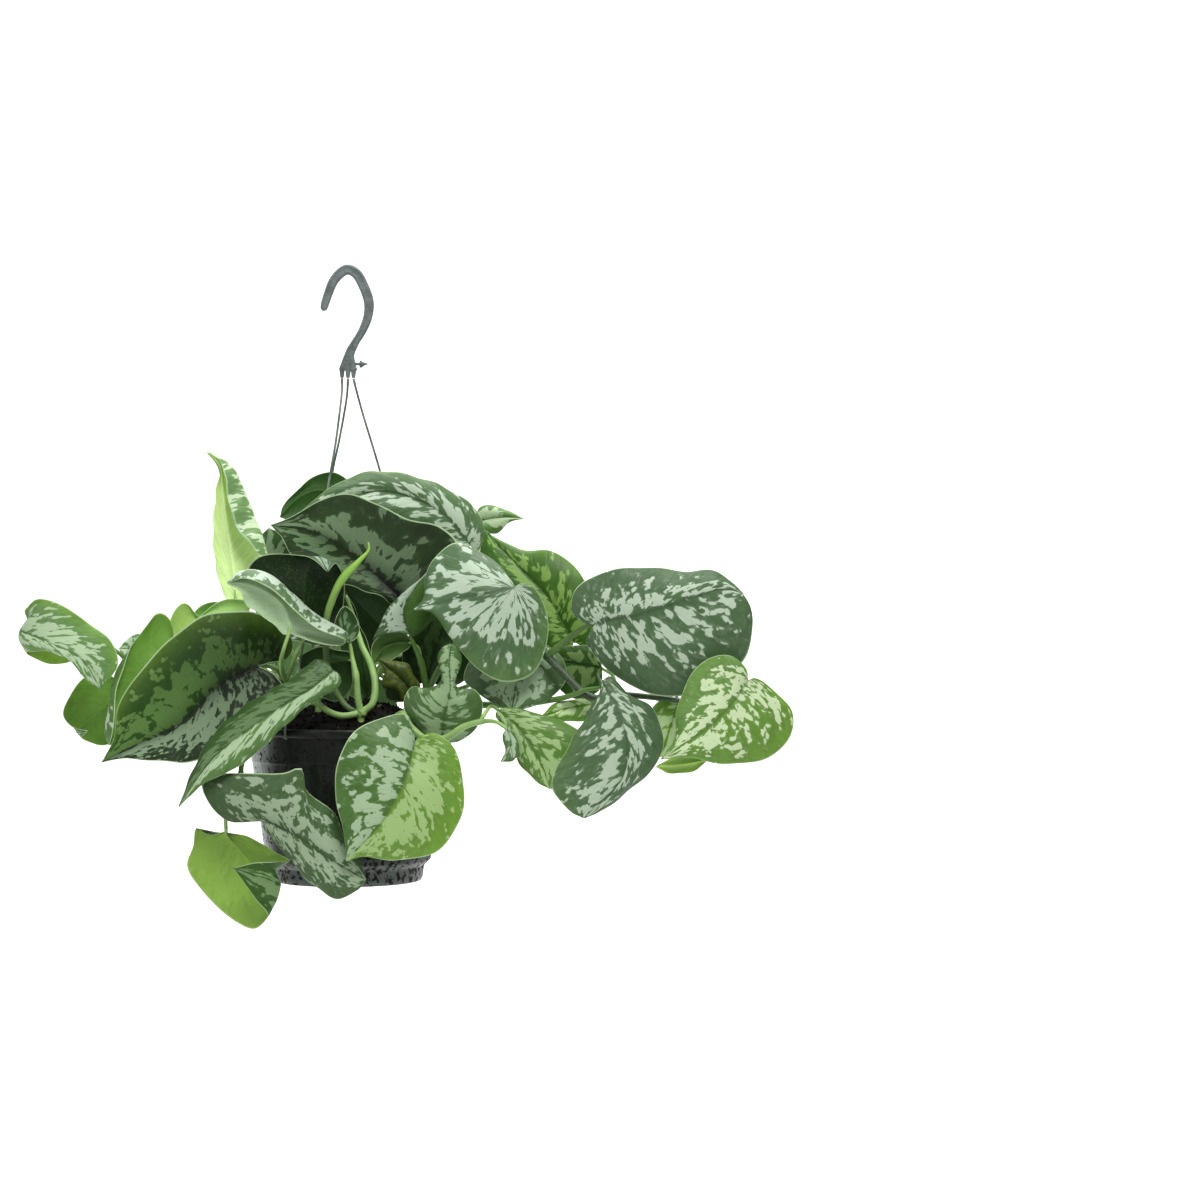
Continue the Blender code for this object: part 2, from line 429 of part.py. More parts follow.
def smooth(points, places):
    """Where the shares of its length called places lie on the centripetal Catmull-Rom curve through points."""
    p = np.asarray(points, float)
    p = np.vstack([2 * p[0] - p[1], p, 2 * p[-1] - p[-2]])
    knots = np.append(0, np.cumsum(np.linalg.norm(np.diff(p, axis=0), axis=1) ** 0.5))
    spans = [np.linspace(knots[i], knots[i + 1], 24, endpoint=False) for i in range(1, len(p) - 2)]
    t = np.append(np.concatenate(spans), knots[-2])
    i = np.clip(np.searchsorted(knots, t, side="right") - 1, 1, len(p) - 3)
    k0, k1, k2, k3 = (knots[i + step] for step in (-1, 0, 1, 2))

    def between(first, last, low, high):
        share = ((t - low) / (high - low))[:, None]
        return first * (1 - share) + last * share

    a1 = between(p[i - 1], p[i], k0, k1)
    a2 = between(p[i], p[i + 1], k1, k2)
    a3 = between(p[i + 1], p[i + 2], k2, k3)
    curve = between(between(a1, a2, k0, k2), between(a2, a3, k1, k3), k1, k2)
    run = np.append(0, np.cumsum(np.linalg.norm(np.diff(curve, axis=0), axis=1)))
    return np.column_stack([np.interp(np.asarray(places) * run[-1], run, axis) for axis in curve.T])


def half_blade(foot, base, tip, margin, fold, a, t):
    """One half, from the rib at t 0 to its margin at t 1: straight lines, or parabolas drawn to a fold."""
    starts, ends = base + SINUS * unit(margin[0] - base), tip + 0.5 * unit(margin[-1] - tip)
    edge = smooth(np.vstack([starts, margin, ends]), a)[:, None]
    if fold is None:
        return foot * (1 - t) + edge * t
    crest = smooth(np.vstack([starts, fold, ends]), a)[:, None]
    pull = (crest - foot * (1 - FOLD_AT) ** 2 - edge * FOLD_AT**2) / (2 * FOLD_AT * (1 - FOLD_AT))
    return foot * (1 - t) ** 2 + 2 * pull * t * (1 - t) + edge * t**2


def face_normals(grid):
    return unit(np.cross(np.gradient(grid, axis=1), np.gradient(grid, axis=0)))


def blade_grid(shape, rows, columns):
    """The blade's middle surface: rows from base to tip, each from the left margin over the rib to the right.

    Lines across a blade sweep towards its tip like its side veins, and bow swells each half between them.
    """
    a = np.linspace(0, 1, rows + 1)
    t = np.linspace(0, 1, columns + 1)[None, :, None]
    rib = real(shape["rib"])
    foot = smooth(rib, a**VEIN_SWEEP)[:, None]
    halves = []
    for side in ("left", "right"):
        fold = shape[side + "_fold"]
        fold = None if fold is None else real(fold)
        halves.append(half_blade(foot, rib[0], rib[-1], real(shape[side]), fold, a, t))
    grid = np.concatenate([halves[0][:, ::-1], halves[1][:, 1:]], axis=1)
    normals = face_normals(grid)
    swell = shape["bow"] * 4 * t * (1 - t) * np.sin(np.pi * np.clip(a, 0.02, 0.98))[:, None, None] ** 0.6
    grid[:, :columns + 1] += swell[:, ::-1] * unit(normals[:, :columns + 1].sum(axis=(0, 1)))
    grid[:, columns:] += swell * unit(normals[:, columns:].sum(axis=(0, 1)))
    return grid


def thickened(grid):
    """The grid as a closed body: both faces split alike, and a rim round its border."""
    rows, columns = grid.shape[:2]
    offset = face_normals(grid) * BLADE_THICKNESS / 2
    points = np.concatenate([(grid + offset).reshape(-1, 3), (grid - offset).reshape(-1, 3)])
    index = np.arange(rows * columns).reshape(rows, columns)
    a, b, c, d = (part.ravel() for part in (index[:-1, :-1], index[:-1, 1:], index[1:, 1:], index[1:, :-1]))
    upper = np.concatenate([np.stack([a, b, c], axis=1), np.stack([a, c, d], axis=1)])
    lower = upper[:, ::-1] + rows * columns
    ring = np.concatenate([index[0, :-1], index[:-1, -1], index[-1, :0:-1], index[:0:-1, 0]])
    after = np.roll(ring, -1)
    below, below_after = ring + rows * columns, after + rows * columns
    rim = np.concatenate([np.stack([ring, below, below_after], axis=1), np.stack([ring, below_after, after], axis=1)])
    return points, np.concatenate([upper, lower, rim])


def swept(path, section):
    """Closed body of a section carried along a path. section holds (side, up) for each ring's corners."""
    along = unit(np.gradient(path, axis=0))
    side = np.cross(along[0], (0.31, -0.82, 0.48))
    sides = []
    for direction in along:
        side = side - (side @ direction) * direction
        side = side / np.linalg.norm(side)
        sides.append(side)
    sides = np.array(sides)
    ups = np.cross(along, sides)
    points = path[:, None] + section[..., :1] * sides[:, None] + section[..., 1:] * ups[:, None]
    rings, corners = points.shape[:2]
    index = np.arange(rings * corners).reshape(rings, corners)
    turned = np.roll(index, -1, axis=1)
    a, b, c, d = (part.ravel() for part in (index[:-1], turned[:-1], turned[1:], index[1:]))
    faces = np.concatenate([np.stack([a, b, c], axis=1), np.stack([a, c, d], axis=1)]).tolist()
    return points.reshape(-1, 3), faces + [index[0, ::-1].tolist(), index[-1].tolist()]


def tube(path, radii, sides=STEM_SIDES):
    angles = 2 * np.pi * np.arange(sides) / sides
    circle = np.stack([np.cos(angles), np.sin(angles)], axis=-1)
    return swept(path, circle * np.asarray(radii, float)[:, None, None])


def turned_body(profile, segments):
    """Closed body of a (radius, z) profile turned about Z. A radius of zero makes one point."""
    points, rings = [], []
    for radius, z in profile:
        start = len(points)
        turns = [0.0] if radius == 0 else 2 * np.pi * np.arange(segments) / segments
        points += [(radius * math.cos(turn), radius * math.sin(turn), z) for turn in turns]
        rings.append(list(range(start, len(points))))
    faces = []
    for low, high in zip(rings, rings[1:] + rings[:1]):
        for i in range(segments):
            corners = [low[i % len(low)], low[(i + 1) % len(low)], high[(i + 1) % len(high)], high[i % len(high)]]
            face = list(dict.fromkeys(corners))
            if len(face) > 2:
                faces.append(face)
    return np.array(points), faces


# Objects

def clear_scene():
    for obj in list(bpy.data.objects):
        bpy.data.objects.remove(obj)


def material(name, colour, roughness):
    made = bpy.data.materials.new(name)
    made.use_nodes = True
    shader = made.node_tree.nodes["Principled BSDF"]
    shader.inputs["Base Color"].default_value = (*colour, 1)
    shader.inputs["Roughness"].default_value = roughness
    made.diffuse_color = (*colour, 1)
    return made


def add_body(name, body, coat, collection=None):
    """An object from points in millimetres and their faces, with its normals outward."""
    points, faces = body
    mesh = bpy.data.meshes.new(name)
    mesh.from_pydata((np.asarray(points) * MM).tolist(), [], [list(map(int, face)) for face in faces])
    sheet = bmesh.new()
    sheet.from_mesh(mesh)
    bmesh.ops.recalc_face_normals(sheet, faces=sheet.faces)
    if sheet.calc_volume(signed=True) < 0:
        bmesh.ops.reverse_faces(sheet, faces=sheet.faces)
    sheet.to_mesh(mesh)
    sheet.free()
    mesh.materials.append(coat)
    obj = bpy.data.objects.new(name, mesh)
    (collection or bpy.context.scene.collection).objects.link(obj)
    return obj


def combine(obj, others, operation):
    """Join or cut obj with all the others in one Boolean, and remove them."""
    helpers = bpy.data.collections.new(obj.name + "_helpers")
    bpy.context.scene.collection.children.link(helpers)
    for other in others:
        bpy.context.scene.collection.objects.unlink(other)
        helpers.objects.link(other)
    boolean = obj.modifiers.new("combine", "BOOLEAN")
    boolean.operation = operation
    boolean.operand_type = "COLLECTION"
    boolean.collection = helpers
    boolean.solver = "EXACT"
    bpy.context.view_layer.update()
    result = bpy.data.meshes.new_from_object(obj.evaluated_get(bpy.context.evaluated_depsgraph_get()))
    obj.modifiers.clear()
    obj.data = result
    for other in others:
        bpy.data.objects.remove(other)
    bpy.data.collections.remove(helpers)


def smooth_faces(obj):
    obj.data.polygons.foreach_set("use_smooth", [True] * len(obj.data.polygons))


# Leaves

def add_leaves(coat):
    """Every blade as its own thin curved body, a finer grid on the blades that curl."""
    for name, shape in LEAVES.items():
        length = np.linalg.norm(np.diff(real(shape["rib"]), axis=0), axis=1).sum()
        plain_rows = int(np.clip(round(length / ROW_STEP), FEWEST_ROWS, MOST_ROWS))
        rows, columns = CURLED_GRID if shape["curled"] else (plain_rows, PLAIN_COLUMNS)
        smooth_faces(add_body(name, thickened(blade_grid(shape, rows, columns)), coat))


def petiole_end(shape):
    """Where a petiole stops: close under the blade's base, clear of it by the gap."""
    grid = blade_grid(shape, *CURLED_GRID)
    middle = CURLED_GRID[1]
    foot = smooth(real(shape["rib"]), [0.0, PETIOLE_REACH])[1]
    under = unit(face_normals(grid)[:3, middle].sum(axis=0))
    return foot - under * (BLADE_THICKNESS / 2 + PETIOLE_END + PETIOLE_GAP)


# Vines

def soil_height(x, y):
    return SOIL_EDGE_Z + SOIL_CROWN * (1 - (x * x + y * y) / POT_RADIUS**2)


def root_of(stand):
    """The place on the mound where a vine stands, from (across, nearer)."""
    across, nearer = stand
    x, y = real([(across, ROOT_LEVEL, nearer)])[0][:2]
    return np.array([x, y, soil_height(x, y)])


def stem_body(radius, points, leaf_name, root):
    """One run of a vine: thick where it starts, thin where it ends under a blade or as the rolled new leaf."""
    path = real(points)
    if root is not None:
        path = np.vstack([root + lift * np.array([0, 0, 1.0]) for lift in (-ROOT_DEPTH, 1.0, ROOT_STRAIGHT)] + [path])
    if leaf_name:
        path = np.vstack([path, petiole_end(LEAVES[leaf_name])])
    length = np.linalg.norm(np.diff(path, axis=0), axis=1).sum()
    places = np.linspace(0, 1, max(4, round(length / STEM_STEP) + 1))
    if root is not None:
        straight = np.array([0, ROOT_DEPTH + 1.0, ROOT_DEPTH + ROOT_STRAIGHT]) / length
        places = np.append(straight[:2], np.linspace(straight[2], 1, len(places) - 1))
    if leaf_name:
        radii = radius + (PETIOLE_END - radius) * places**2.4
    elif root is None:
        radii = np.interp(places, (0, 0.45, 0.8, 1), (radius, radius, NEW_LEAF_RADIUS, NEW_LEAF_TIP))
    else:
        radii = np.full(len(places), radius)
    return tube(smooth(path, places), radii)


def add_vines(coat):
    """Each vine is one body: the stem out of the soil and every petiole and runner that grows from it."""
    for name, (stand, runs) in VINES.items():
        stems = []
        for number, (radius, points, leaf_name) in enumerate(runs):
            root = root_of(stand) if number == 0 else None
            stems.append(add_body(f"{name}_run_{number}", stem_body(radius, points, leaf_name, root), coat))
        stems[0].name = name
        combine(stems[0], stems[1:], "UNION")
        smooth_faces(stems[0])


# Pot and soil

def add_pot(coat):
    """A tapered nursery pot with a rolled lip, a stepped foot and drain holes through its floor."""
    side = [(74.0, -344.0), (72.0, -364.0), (64.0, -420.0), (61.5, -438.0), (56.8, -442.5)]
    foot = [(55.5, FLOOR_Z + 0.8), (54.5, FLOOR_Z - 1.8), (0.0, FLOOR_Z - 1.8)]
    lip = [(77.0, -342.6), (77.0, -339.0), (76.0, RIM_Z), (74.2, RIM_Z)]
    inside = [(radius - WALL, z) for radius, z in side]
    profile = foot[::-1] + side[::-1] + lip + inside + [(53.9, FLOOR_Z), (0.0, FLOOR_Z)]
    pot = add_body("pot", turned_body(profile, POT_SEGMENTS), coat)
    drains = []
    for number in range(DRAIN_HOLES):
        turn = 2 * math.pi * number / DRAIN_HOLES
        x, y = DRAIN_CIRCLE * math.cos(turn), DRAIN_CIRCLE * math.sin(turn)
        path = np.array([(x, y, FLOOR_Z - 6), (x, y, FLOOR_Z + 6)])
        drains.append(add_body(f"drain_{number}", tube(path, [DRAIN_RADIUS] * 2, HOLE_SIDES), coat))
    combine(pot, drains, "DIFFERENCE")
    smooth_faces(pot)


def add_soil(coat):
    """The mounded potting mix, clear of the pot by the gap, with a plain hole for each vine."""
    mound = [(radius, soil_height(radius, 0)) for radius in (0.0, 24.0, 46.0, 62.0)]
    inset = WALL + GAP
    side = [(radius - inset, z) for radius, z in ((74.0, -344.0), (72.0, -364.0), (64.0, -420.0))]
    foot = [(61.5 - inset, -437.6), (56.8 - inset, -442.1), (53.5, FLOOR_Z + GAP), (0.0, FLOOR_Z + GAP)]
    soil = add_body("soil", turned_body(mound + side + foot, POT_SEGMENTS), coat)
    holes = []
    for name, (stand, runs) in VINES.items():
        root = root_of(stand)
        low, high = root - (0, 0, ROOT_DEPTH + GAP), root + (0, 0, 12.0)
        radius = (runs[0][0] + GAP + 0.2) / math.cos(math.pi / HOLE_SIDES)
        holes.append(add_body(name + "_hole", tube(np.array([low, high]), [radius] * 2, HOLE_SIDES), coat))
    combine(soil, holes, "DIFFERENCE")
    smooth_faces(soil)


# Hanger

def add_hook(coat):
    """The moulded hook: a grooved bar bent over the hanging point, a flared foot, three sockets and a peg."""
    line = [(323, 311), (327.5, 296), (335, 279), (347, 269.6), (356, 273.5), (363.5, 286), (368.8, 302),
            (368, 316), (362.8, 330), (354.5, 344), (350, 353), (348.5, 362), (348, 371)]
    places = np.linspace(0, 1, 22)
    path = smooth(real([(across, down, 0) for across, down in line]), places)
    half_widths = np.interp(places, (0, 0.04, 0.3, 0.55, 0.8, 0.9, 0.96, 1), (2.2, 3.1, 3.9, 3.8, 2.8, 3.6, 5.6, 7.4))
    shape = np.array([(-1, -0.5), (-0.7, -1), (-0.25, -0.7), (0.25, -0.7), (0.7, -1), (1, -0.5), (1, 0.5), (0.7, 1),
                      (0.25, 0.7), (-0.25, 0.7), (-0.7, 1), (-1, 0.5)])
    along = unit(np.gradient(path, axis=0))
    across = np.cross(along, (0, 1, 0))
    points = (path[:, None] + shape[None, :, :1] * half_widths[:, None, None] * across[:, None]
              + shape[None, :, 1:] * HOOK_DEPTH / 2 * np.array([0, 1, 0]))
    rings, corners = points.shape[:2]
    index = np.arange(rings * corners).reshape(rings, corners)
    turned = np.roll(index, -1, axis=1)
    faces = np.stack([part.ravel() for part in (index[:-1], turned[:-1], turned[1:], index[1:])], axis=1).tolist()
    caps = [index[0, ::-1].tolist(), index[-1].tolist()]
    hook = add_body("hanger_hook", (points.reshape(-1, 3), faces + caps), coat)
    more = []
    for number, nub in enumerate(NUBS_ACROSS):
        nub_path = real([(nub, 368, 0), (nub, 374, 0), (nub, NUB_DOWN, 0)])
        more.append(add_body(f"nub_{number}", tube(nub_path, (1.9, 1.7, 1.3), 10), coat))
    shaft = real([(354, 363.8, 0), (361, 364.2, 0), (368, 364, 0)])
    more.append(add_body("peg_shaft", tube(shaft, (1.1, 1.0, 0.7), 8), coat))
    barb = real([(359.8, 364.2, 0), (361.2, 364.2, 0), (365.5, 364.1, 0)])
    more.append(add_body("peg_barb", tube(barb, (2.8, 2.9, 0.9), 8), coat))
    combine(hook, more, "UNION")
    smooth_faces(hook)


def add_strands(coat):
    """Three stiff strands from the hook's sockets to the pot, each with a toe that grips under the lip."""
    for number, (nub, points) in enumerate(zip(NUBS_ACROSS, STRANDS)):
        turn = math.radians(CLIP_ANGLES[number])
        outward = np.array([math.cos(turn), math.sin(turn), 0])
        top = real([(nub, NUB_DOWN, 0)]) - (0, 0, 1.5 * GAP)
        clip = [outward * radius + (0, 0, z) for radius, z in CLIP]
        path = np.vstack([top, real(points), clip])
        places = np.append(np.linspace(0, 0.955, 14), np.linspace(0.965, 1, 6))
        strand = add_body(f"hanger_strand_{number + 1}", tube(smooth(path, places), [STRAND_RADIUS] * len(places)), coat)
        smooth_faces(strand)


def main():
    clear_scene()
    leaf_coat = material("leaf_green", LEAF_GREEN, 0.45)
    stem_coat = material("stem_green", STEM_GREEN, 0.5)
    pot_coat = material("pot_plastic", POT_BLACK, 0.42)
    soil_coat = material("potting_mix", SOIL_BLACK, 0.95)
    hanger_coat = material("hanger_plastic", HANGER_GREY, 0.5)
    add_leaves(leaf_coat)
    add_vines(stem_coat)
    add_pot(pot_coat)
    add_soil(soil_coat)
    add_hook(hanger_coat)
    add_strands(hanger_coat)


main()
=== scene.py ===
"""Satin pothos in its hanging nursery pot, dressed for the studio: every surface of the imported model."""
import json
import math

import bpy
import numpy as np
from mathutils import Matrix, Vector

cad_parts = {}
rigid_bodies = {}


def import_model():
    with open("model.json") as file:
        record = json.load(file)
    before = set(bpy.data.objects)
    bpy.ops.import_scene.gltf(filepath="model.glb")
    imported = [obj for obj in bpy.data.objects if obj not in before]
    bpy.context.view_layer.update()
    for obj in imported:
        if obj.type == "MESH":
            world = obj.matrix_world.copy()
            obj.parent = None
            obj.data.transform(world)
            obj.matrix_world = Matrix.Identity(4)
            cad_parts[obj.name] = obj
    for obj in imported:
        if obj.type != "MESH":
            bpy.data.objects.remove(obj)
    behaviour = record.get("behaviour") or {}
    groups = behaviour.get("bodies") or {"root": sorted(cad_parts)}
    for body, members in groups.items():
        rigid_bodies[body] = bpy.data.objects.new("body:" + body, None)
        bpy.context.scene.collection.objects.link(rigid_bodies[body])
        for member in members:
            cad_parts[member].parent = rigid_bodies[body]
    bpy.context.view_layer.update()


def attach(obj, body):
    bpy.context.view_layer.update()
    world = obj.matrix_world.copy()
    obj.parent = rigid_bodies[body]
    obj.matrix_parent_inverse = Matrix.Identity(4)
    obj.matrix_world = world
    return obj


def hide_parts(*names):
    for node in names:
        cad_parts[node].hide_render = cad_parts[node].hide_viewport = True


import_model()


# Camera
# The photograph looks squarely at the plant from two metres, with the plant left of the middle of the frame.
# Places below are given as it shows them: pixels across and down, and millimetres nearer than the pot's axis.

MM, MM_PER_PIXEL = 0.001, 0.75
SEAT_ACROSS, SEAT_DOWN = 348.5, 274.7
VIEW_DISTANCE, VIEW_X, VIEW_Z = 2000.0, 188.6, -244.0
PICTURE_WIDTH, SENSOR_WIDTH = 1200, 36.0


def placed(name, data):
    """A new object with that data, linked to the scene."""
    made = bpy.data.objects.new(name, data)
    bpy.context.scene.collection.objects.link(made)
    return made


camera = placed("camera", bpy.data.cameras.new("camera"))
camera.data.sensor_width = SENSOR_WIDTH
camera.data.lens = SENSOR_WIDTH * VIEW_DISTANCE / (PICTURE_WIDTH * MM_PER_PIXEL)
camera.location = (VIEW_X * MM, -VIEW_DISTANCE * MM, VIEW_Z * MM)
camera.rotation_euler = (math.pi / 2, 0, 0)
bpy.context.scene.camera = camera


def real(points):
    """Picture points, (across, down, nearer), as places in millimetres."""
    across, down, nearer = np.asarray(points, float).T
    scale = (VIEW_DISTANCE - nearer) / VIEW_DISTANCE
    x = VIEW_X + ((across - SEAT_ACROSS) * MM_PER_PIXEL - VIEW_X) * scale
    z = VIEW_Z + ((SEAT_DOWN - down) * MM_PER_PIXEL - VIEW_Z) * scale
    return np.stack([x, -nearer, z], axis=-1)


# Hook
# The moulded hook that the plant hangs from: a bent bar with a groove down both faces, a flared foot
# with three round sockets for the strands, and a barbed peg at its side. One piece of speckled grey plastic.

def unit(vectors):
    """Vectors divided by their own lengths."""
    return vectors / np.maximum(np.linalg.norm(vectors, axis=-1, keepdims=True), 1e-9)


def smooth(points, places):
    """Where the shares of its length called places lie on the centripetal Catmull-Rom curve through points.

    The curve is worked out at 24 places a span, by blending straight lines, then parabolas, then cubics.
    """
    p = np.asarray(points, float)
    p = np.vstack([2 * p[0] - p[1], p, 2 * p[-1] - p[-2]])
    knots = np.append(0, np.cumsum(np.linalg.norm(np.diff(p, axis=0), axis=1) ** 0.5))
    spans = [np.linspace(knots[i], knots[i + 1], 24, endpoint=False) for i in range(1, len(p) - 2)]
    t = np.append(np.concatenate(spans), knots[-2])
    i = np.clip(np.searchsorted(knots, t, side="right") - 1, 1, len(p) - 3)
    k0, k1, k2, k3 = (knots[i + step] for step in (-1, 0, 1, 2))

    def between(first, last, low, high):
        share = ((t - low) / (high - low))[:, None]
        return first * (1 - share) + last * share

    a1 = between(p[i - 1], p[i], k0, k1)
    a2 = between(p[i], p[i + 1], k1, k2)
    a3 = between(p[i + 1], p[i + 2], k2, k3)
    curve = between(between(a1, a2, k0, k2), between(a2, a3, k1, k3), k1, k2)
    run = np.append(0, np.cumsum(np.linalg.norm(np.diff(curve, axis=0), axis=1)))
    return np.column_stack([np.interp(np.asarray(places) * run[-1], run, axis) for axis in curve.T])


def swept(path, section):
    """Closed body of a section carried along a path without twist. section holds (side, up) of each ring.

    Each ring's sideways direction is the last ring's, less the part of it that points along the path.
    """
    along = unit(np.gradient(path, axis=0))
    side = np.cross(along[0], (0.31, -0.82, 0.48))
    sides = []
    for direction in along:
        side = unit(side - (side @ direction) * direction)
        sides.append(side)
    sides = np.array(sides)
    ups = np.cross(along, sides)
    points = path[:, None] + section[..., :1] * sides[:, None] + section[..., 1:] * ups[:, None]
    return points.reshape(-1, 3), ring_faces(*points.shape[:2])


def ring_faces(rings, corners):
    """Quads between rings of corners, in order, and a cap at each end."""
    index = np.arange(rings * corners).reshape(rings, corners)
    turned = np.roll(index, -1, axis=1)
    quads = np.stack([index[:-1].ravel(), turned[:-1].ravel(), turned[1:].ravel(), index[1:].ravel()], axis=1)
    return quads.tolist() + [index[0, ::-1].tolist(), index[-1].tolist()]


def circle(corners):
    """Even places round a circle of radius one."""
    angles = 2 * np.pi * np.arange(corners) / corners
    return np.stack([np.cos(angles), np.sin(angles)], axis=-1)


def tube(path, radii, sides):
    """Closed round body: circles of the given radii along a path."""
    return swept(path, circle(sides) * np.asarray(radii, float)[:, None, None])


def joined(bodies):
    """Several bodies' points and faces as one."""
    points, faces, count = [], [], 0
    for body_points, body_faces in bodies:
        points.append(body_points)
        faces += [[count + corner for corner in face] for face in body_faces]
        count += len(body_points)
    return np.concatenate(points), faces


def mesh_of(name, points, faces, coats=(), smoothed=True):
    """A mesh from points in metres and faces, with its materials."""
    mesh = bpy.data.meshes.new(name)
    mesh.from_pydata(points.tolist(), [], faces)
    for material in coats:
        mesh.materials.append(material)
    mesh.polygons.foreach_set("use_smooth", [smoothed] * len(mesh.polygons))
    return mesh


def piece(name, body, coats, nodes, smoothed=True):
    """An object from points in millimetres and faces, riding on the one body, in place of its CAD nodes."""
    points, faces = body
    made = placed(name, mesh_of(name, points * MM, faces, coats, smoothed))
    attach(made, "root")
    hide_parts(*nodes)
    return made


def linear(red, green, blue):
    """A colour as read from 0 to 255 on a screen, as the light it stands for."""
    shares = np.array([red, green, blue]) / 255
    return (*np.where(shares <= 0.04045, shares / 12.92, ((shares + 0.055) / 1.055) ** 2.4).tolist(), 1.0)


class Field:
    """A value over a surface. Arithmetic adds Math nodes, and node() adds any other."""

    def __init__(self, tree, socket=None):
        self.tree, self.socket = tree, socket

    def node(self, kind, inputs=(), output=0, **settings):
        """Any node: its type, what its inputs are given or linked to, which output is wanted, and its settings."""
        made = self.tree.nodes.new(kind)
        for setting, value in settings.items():
            setattr(made, setting, value)
        for key, value in dict(inputs).items():
            if isinstance(value, Field):
                self.tree.links.new(value.socket, made.inputs[key])
            else:
                made.inputs[key].default_value = value
        return Field(self.tree, made.outputs[output])

    def math(self, operation, *others):
        """A sum, product or other Math node of this number and others."""
        return self.node("ShaderNodeMath", enumerate([self, *others]), operation=operation)

    def __add__(self, other):
        return self.math("ADD", other)

    def __sub__(self, other):
        return self.math("SUBTRACT", other)

    def __rsub__(self, other):
        return (self * -1.0) + other

    def __mul__(self, other):
        return self.math("MULTIPLY", other)

    __radd__, __rmul__ = __add__, __mul__

    def colour(self, red, green, blue):
        """One colour, as read from a screen."""
        plain = self.node("ShaderNodeRGB")
        plain.socket.default_value = linear(red, green, blue)
        return plain

    def step(self, low, high):
        """0 below low, 1 above high and smooth between."""
        return self.node("ShaderNodeMapRange", {0: self, 1: low, 2: high}, interpolation_type="SMOOTHSTEP")

    def mix(self, other, share):
        """This colour with a share of another."""
        return self.node("ShaderNodeMix", {0: share, 6: self, 7: other}, 2, data_type="RGBA")

    def scaled(self, factor):
        """This colour, brighter or darker."""
        return self.node("ShaderNodeVectorMath", {0: self, "Scale": factor}, operation="SCALE")

    def parts(self):
        """The three numbers of a vector."""
        split = self.node("ShaderNodeSeparateXYZ", {0: self}).socket.node
        return [Field(self.tree, socket) for socket in split.outputs]

    def joined_with(self, y, z):
        """A vector of this number and two more."""
        return self.node("ShaderNodeCombineXYZ", {0: self, 1: y, 2: z})

    def noise(self, scale, detail=2.0, roughness=0.5, distortion=0.0):
        """Noise between 0 and 1 at this place."""
        return self.node("ShaderNodeTexNoise", {"Vector": self, "Scale": scale, "Detail": detail,
                                                "Roughness": roughness, "Distortion": distortion})

    def cells(self, scale, smoothness):
        """Distance to the nearest points of an uneven scatter."""
        values = {"Vector": self, "Scale": scale, "Smoothness": smoothness}
        return self.node("ShaderNodeTexVoronoi", values, feature="SMOOTH_F1")


def coat(name, roughness=0.5, **constants):
    """A new material: itself, a field to start from, and a way to wire fields to the shader's inputs.

    constants are the shader's own values that are the same all over the surface.
    """
    made = bpy.data.materials.new(name)
    made.use_nodes = True
    tree = made.node_tree
    shader = tree.nodes["Principled BSDF"]
    shader.inputs["Roughness"].default_value = roughness
    for key, value in constants.items():
        shader.inputs[key.replace("_", " ")].default_value = value

    def wire(**fields):
        for key, field in fields.items():
            tree.links.new(field.socket, shader.inputs[key.replace("_", " ")])

    return made, Field(tree), wire


def bumped(start, height, strength, distance):
    """The surface's normal, raised and sunk by a height field. distance is in metres."""
    return start.node("ShaderNodeBump", {"Height": height, "Strength": strength, "Distance": distance})


def place_of(start):
    """Where a point of the surface is, in metres."""
    return start.node("ShaderNodeTexCoord", output="Object")


HOOK_LINE = [(323, 311), (327.5, 296), (335, 279), (347, 269.6), (356, 273.5), (363.5, 286), (368.8, 302),
             (368, 316), (362.8, 330), (354.5, 344), (350, 353), (348.5, 362), (348, 371)]
HOOK_DEPTH = 5.6
HOOK_PLACES = (0, 0.04, 0.3, 0.55, 0.8, 0.9, 0.96, 1)
HOOK_HALF_WIDTHS = (2.2, 3.1, 3.9, 3.8, 2.8, 3.6, 5.6, 7.4)
NUBS_ACROSS = (342, 348, 353.5)
NUB_LINE = (366, 369, 371, 374, 377.2, 378)
NUB_RADII = (1.9, 1.9, 2.0, 1.75, 1.4, 1.1)
SHAFT_LINE = [(354, 363.8), (358, 364.1), (361, 364.2), (366, 364), (368, 364)]
SHAFT_RADII = (1.2, 1.1, 1.0, 0.85, 0.4)
BARB_LINE = [(359.6, 364.2), (360.2, 364.2), (361.2, 364.2), (363, 364.2), (365.5, 364.1)]
BARB_RADII = (2.3, 2.8, 2.9, 1.8, 0.8)


def in_hook_plane(line):
    """Picture points, (across, down), in the hook's own upright plane through the pot's axis."""
    return real([(across, down, 0) for across, down in line])


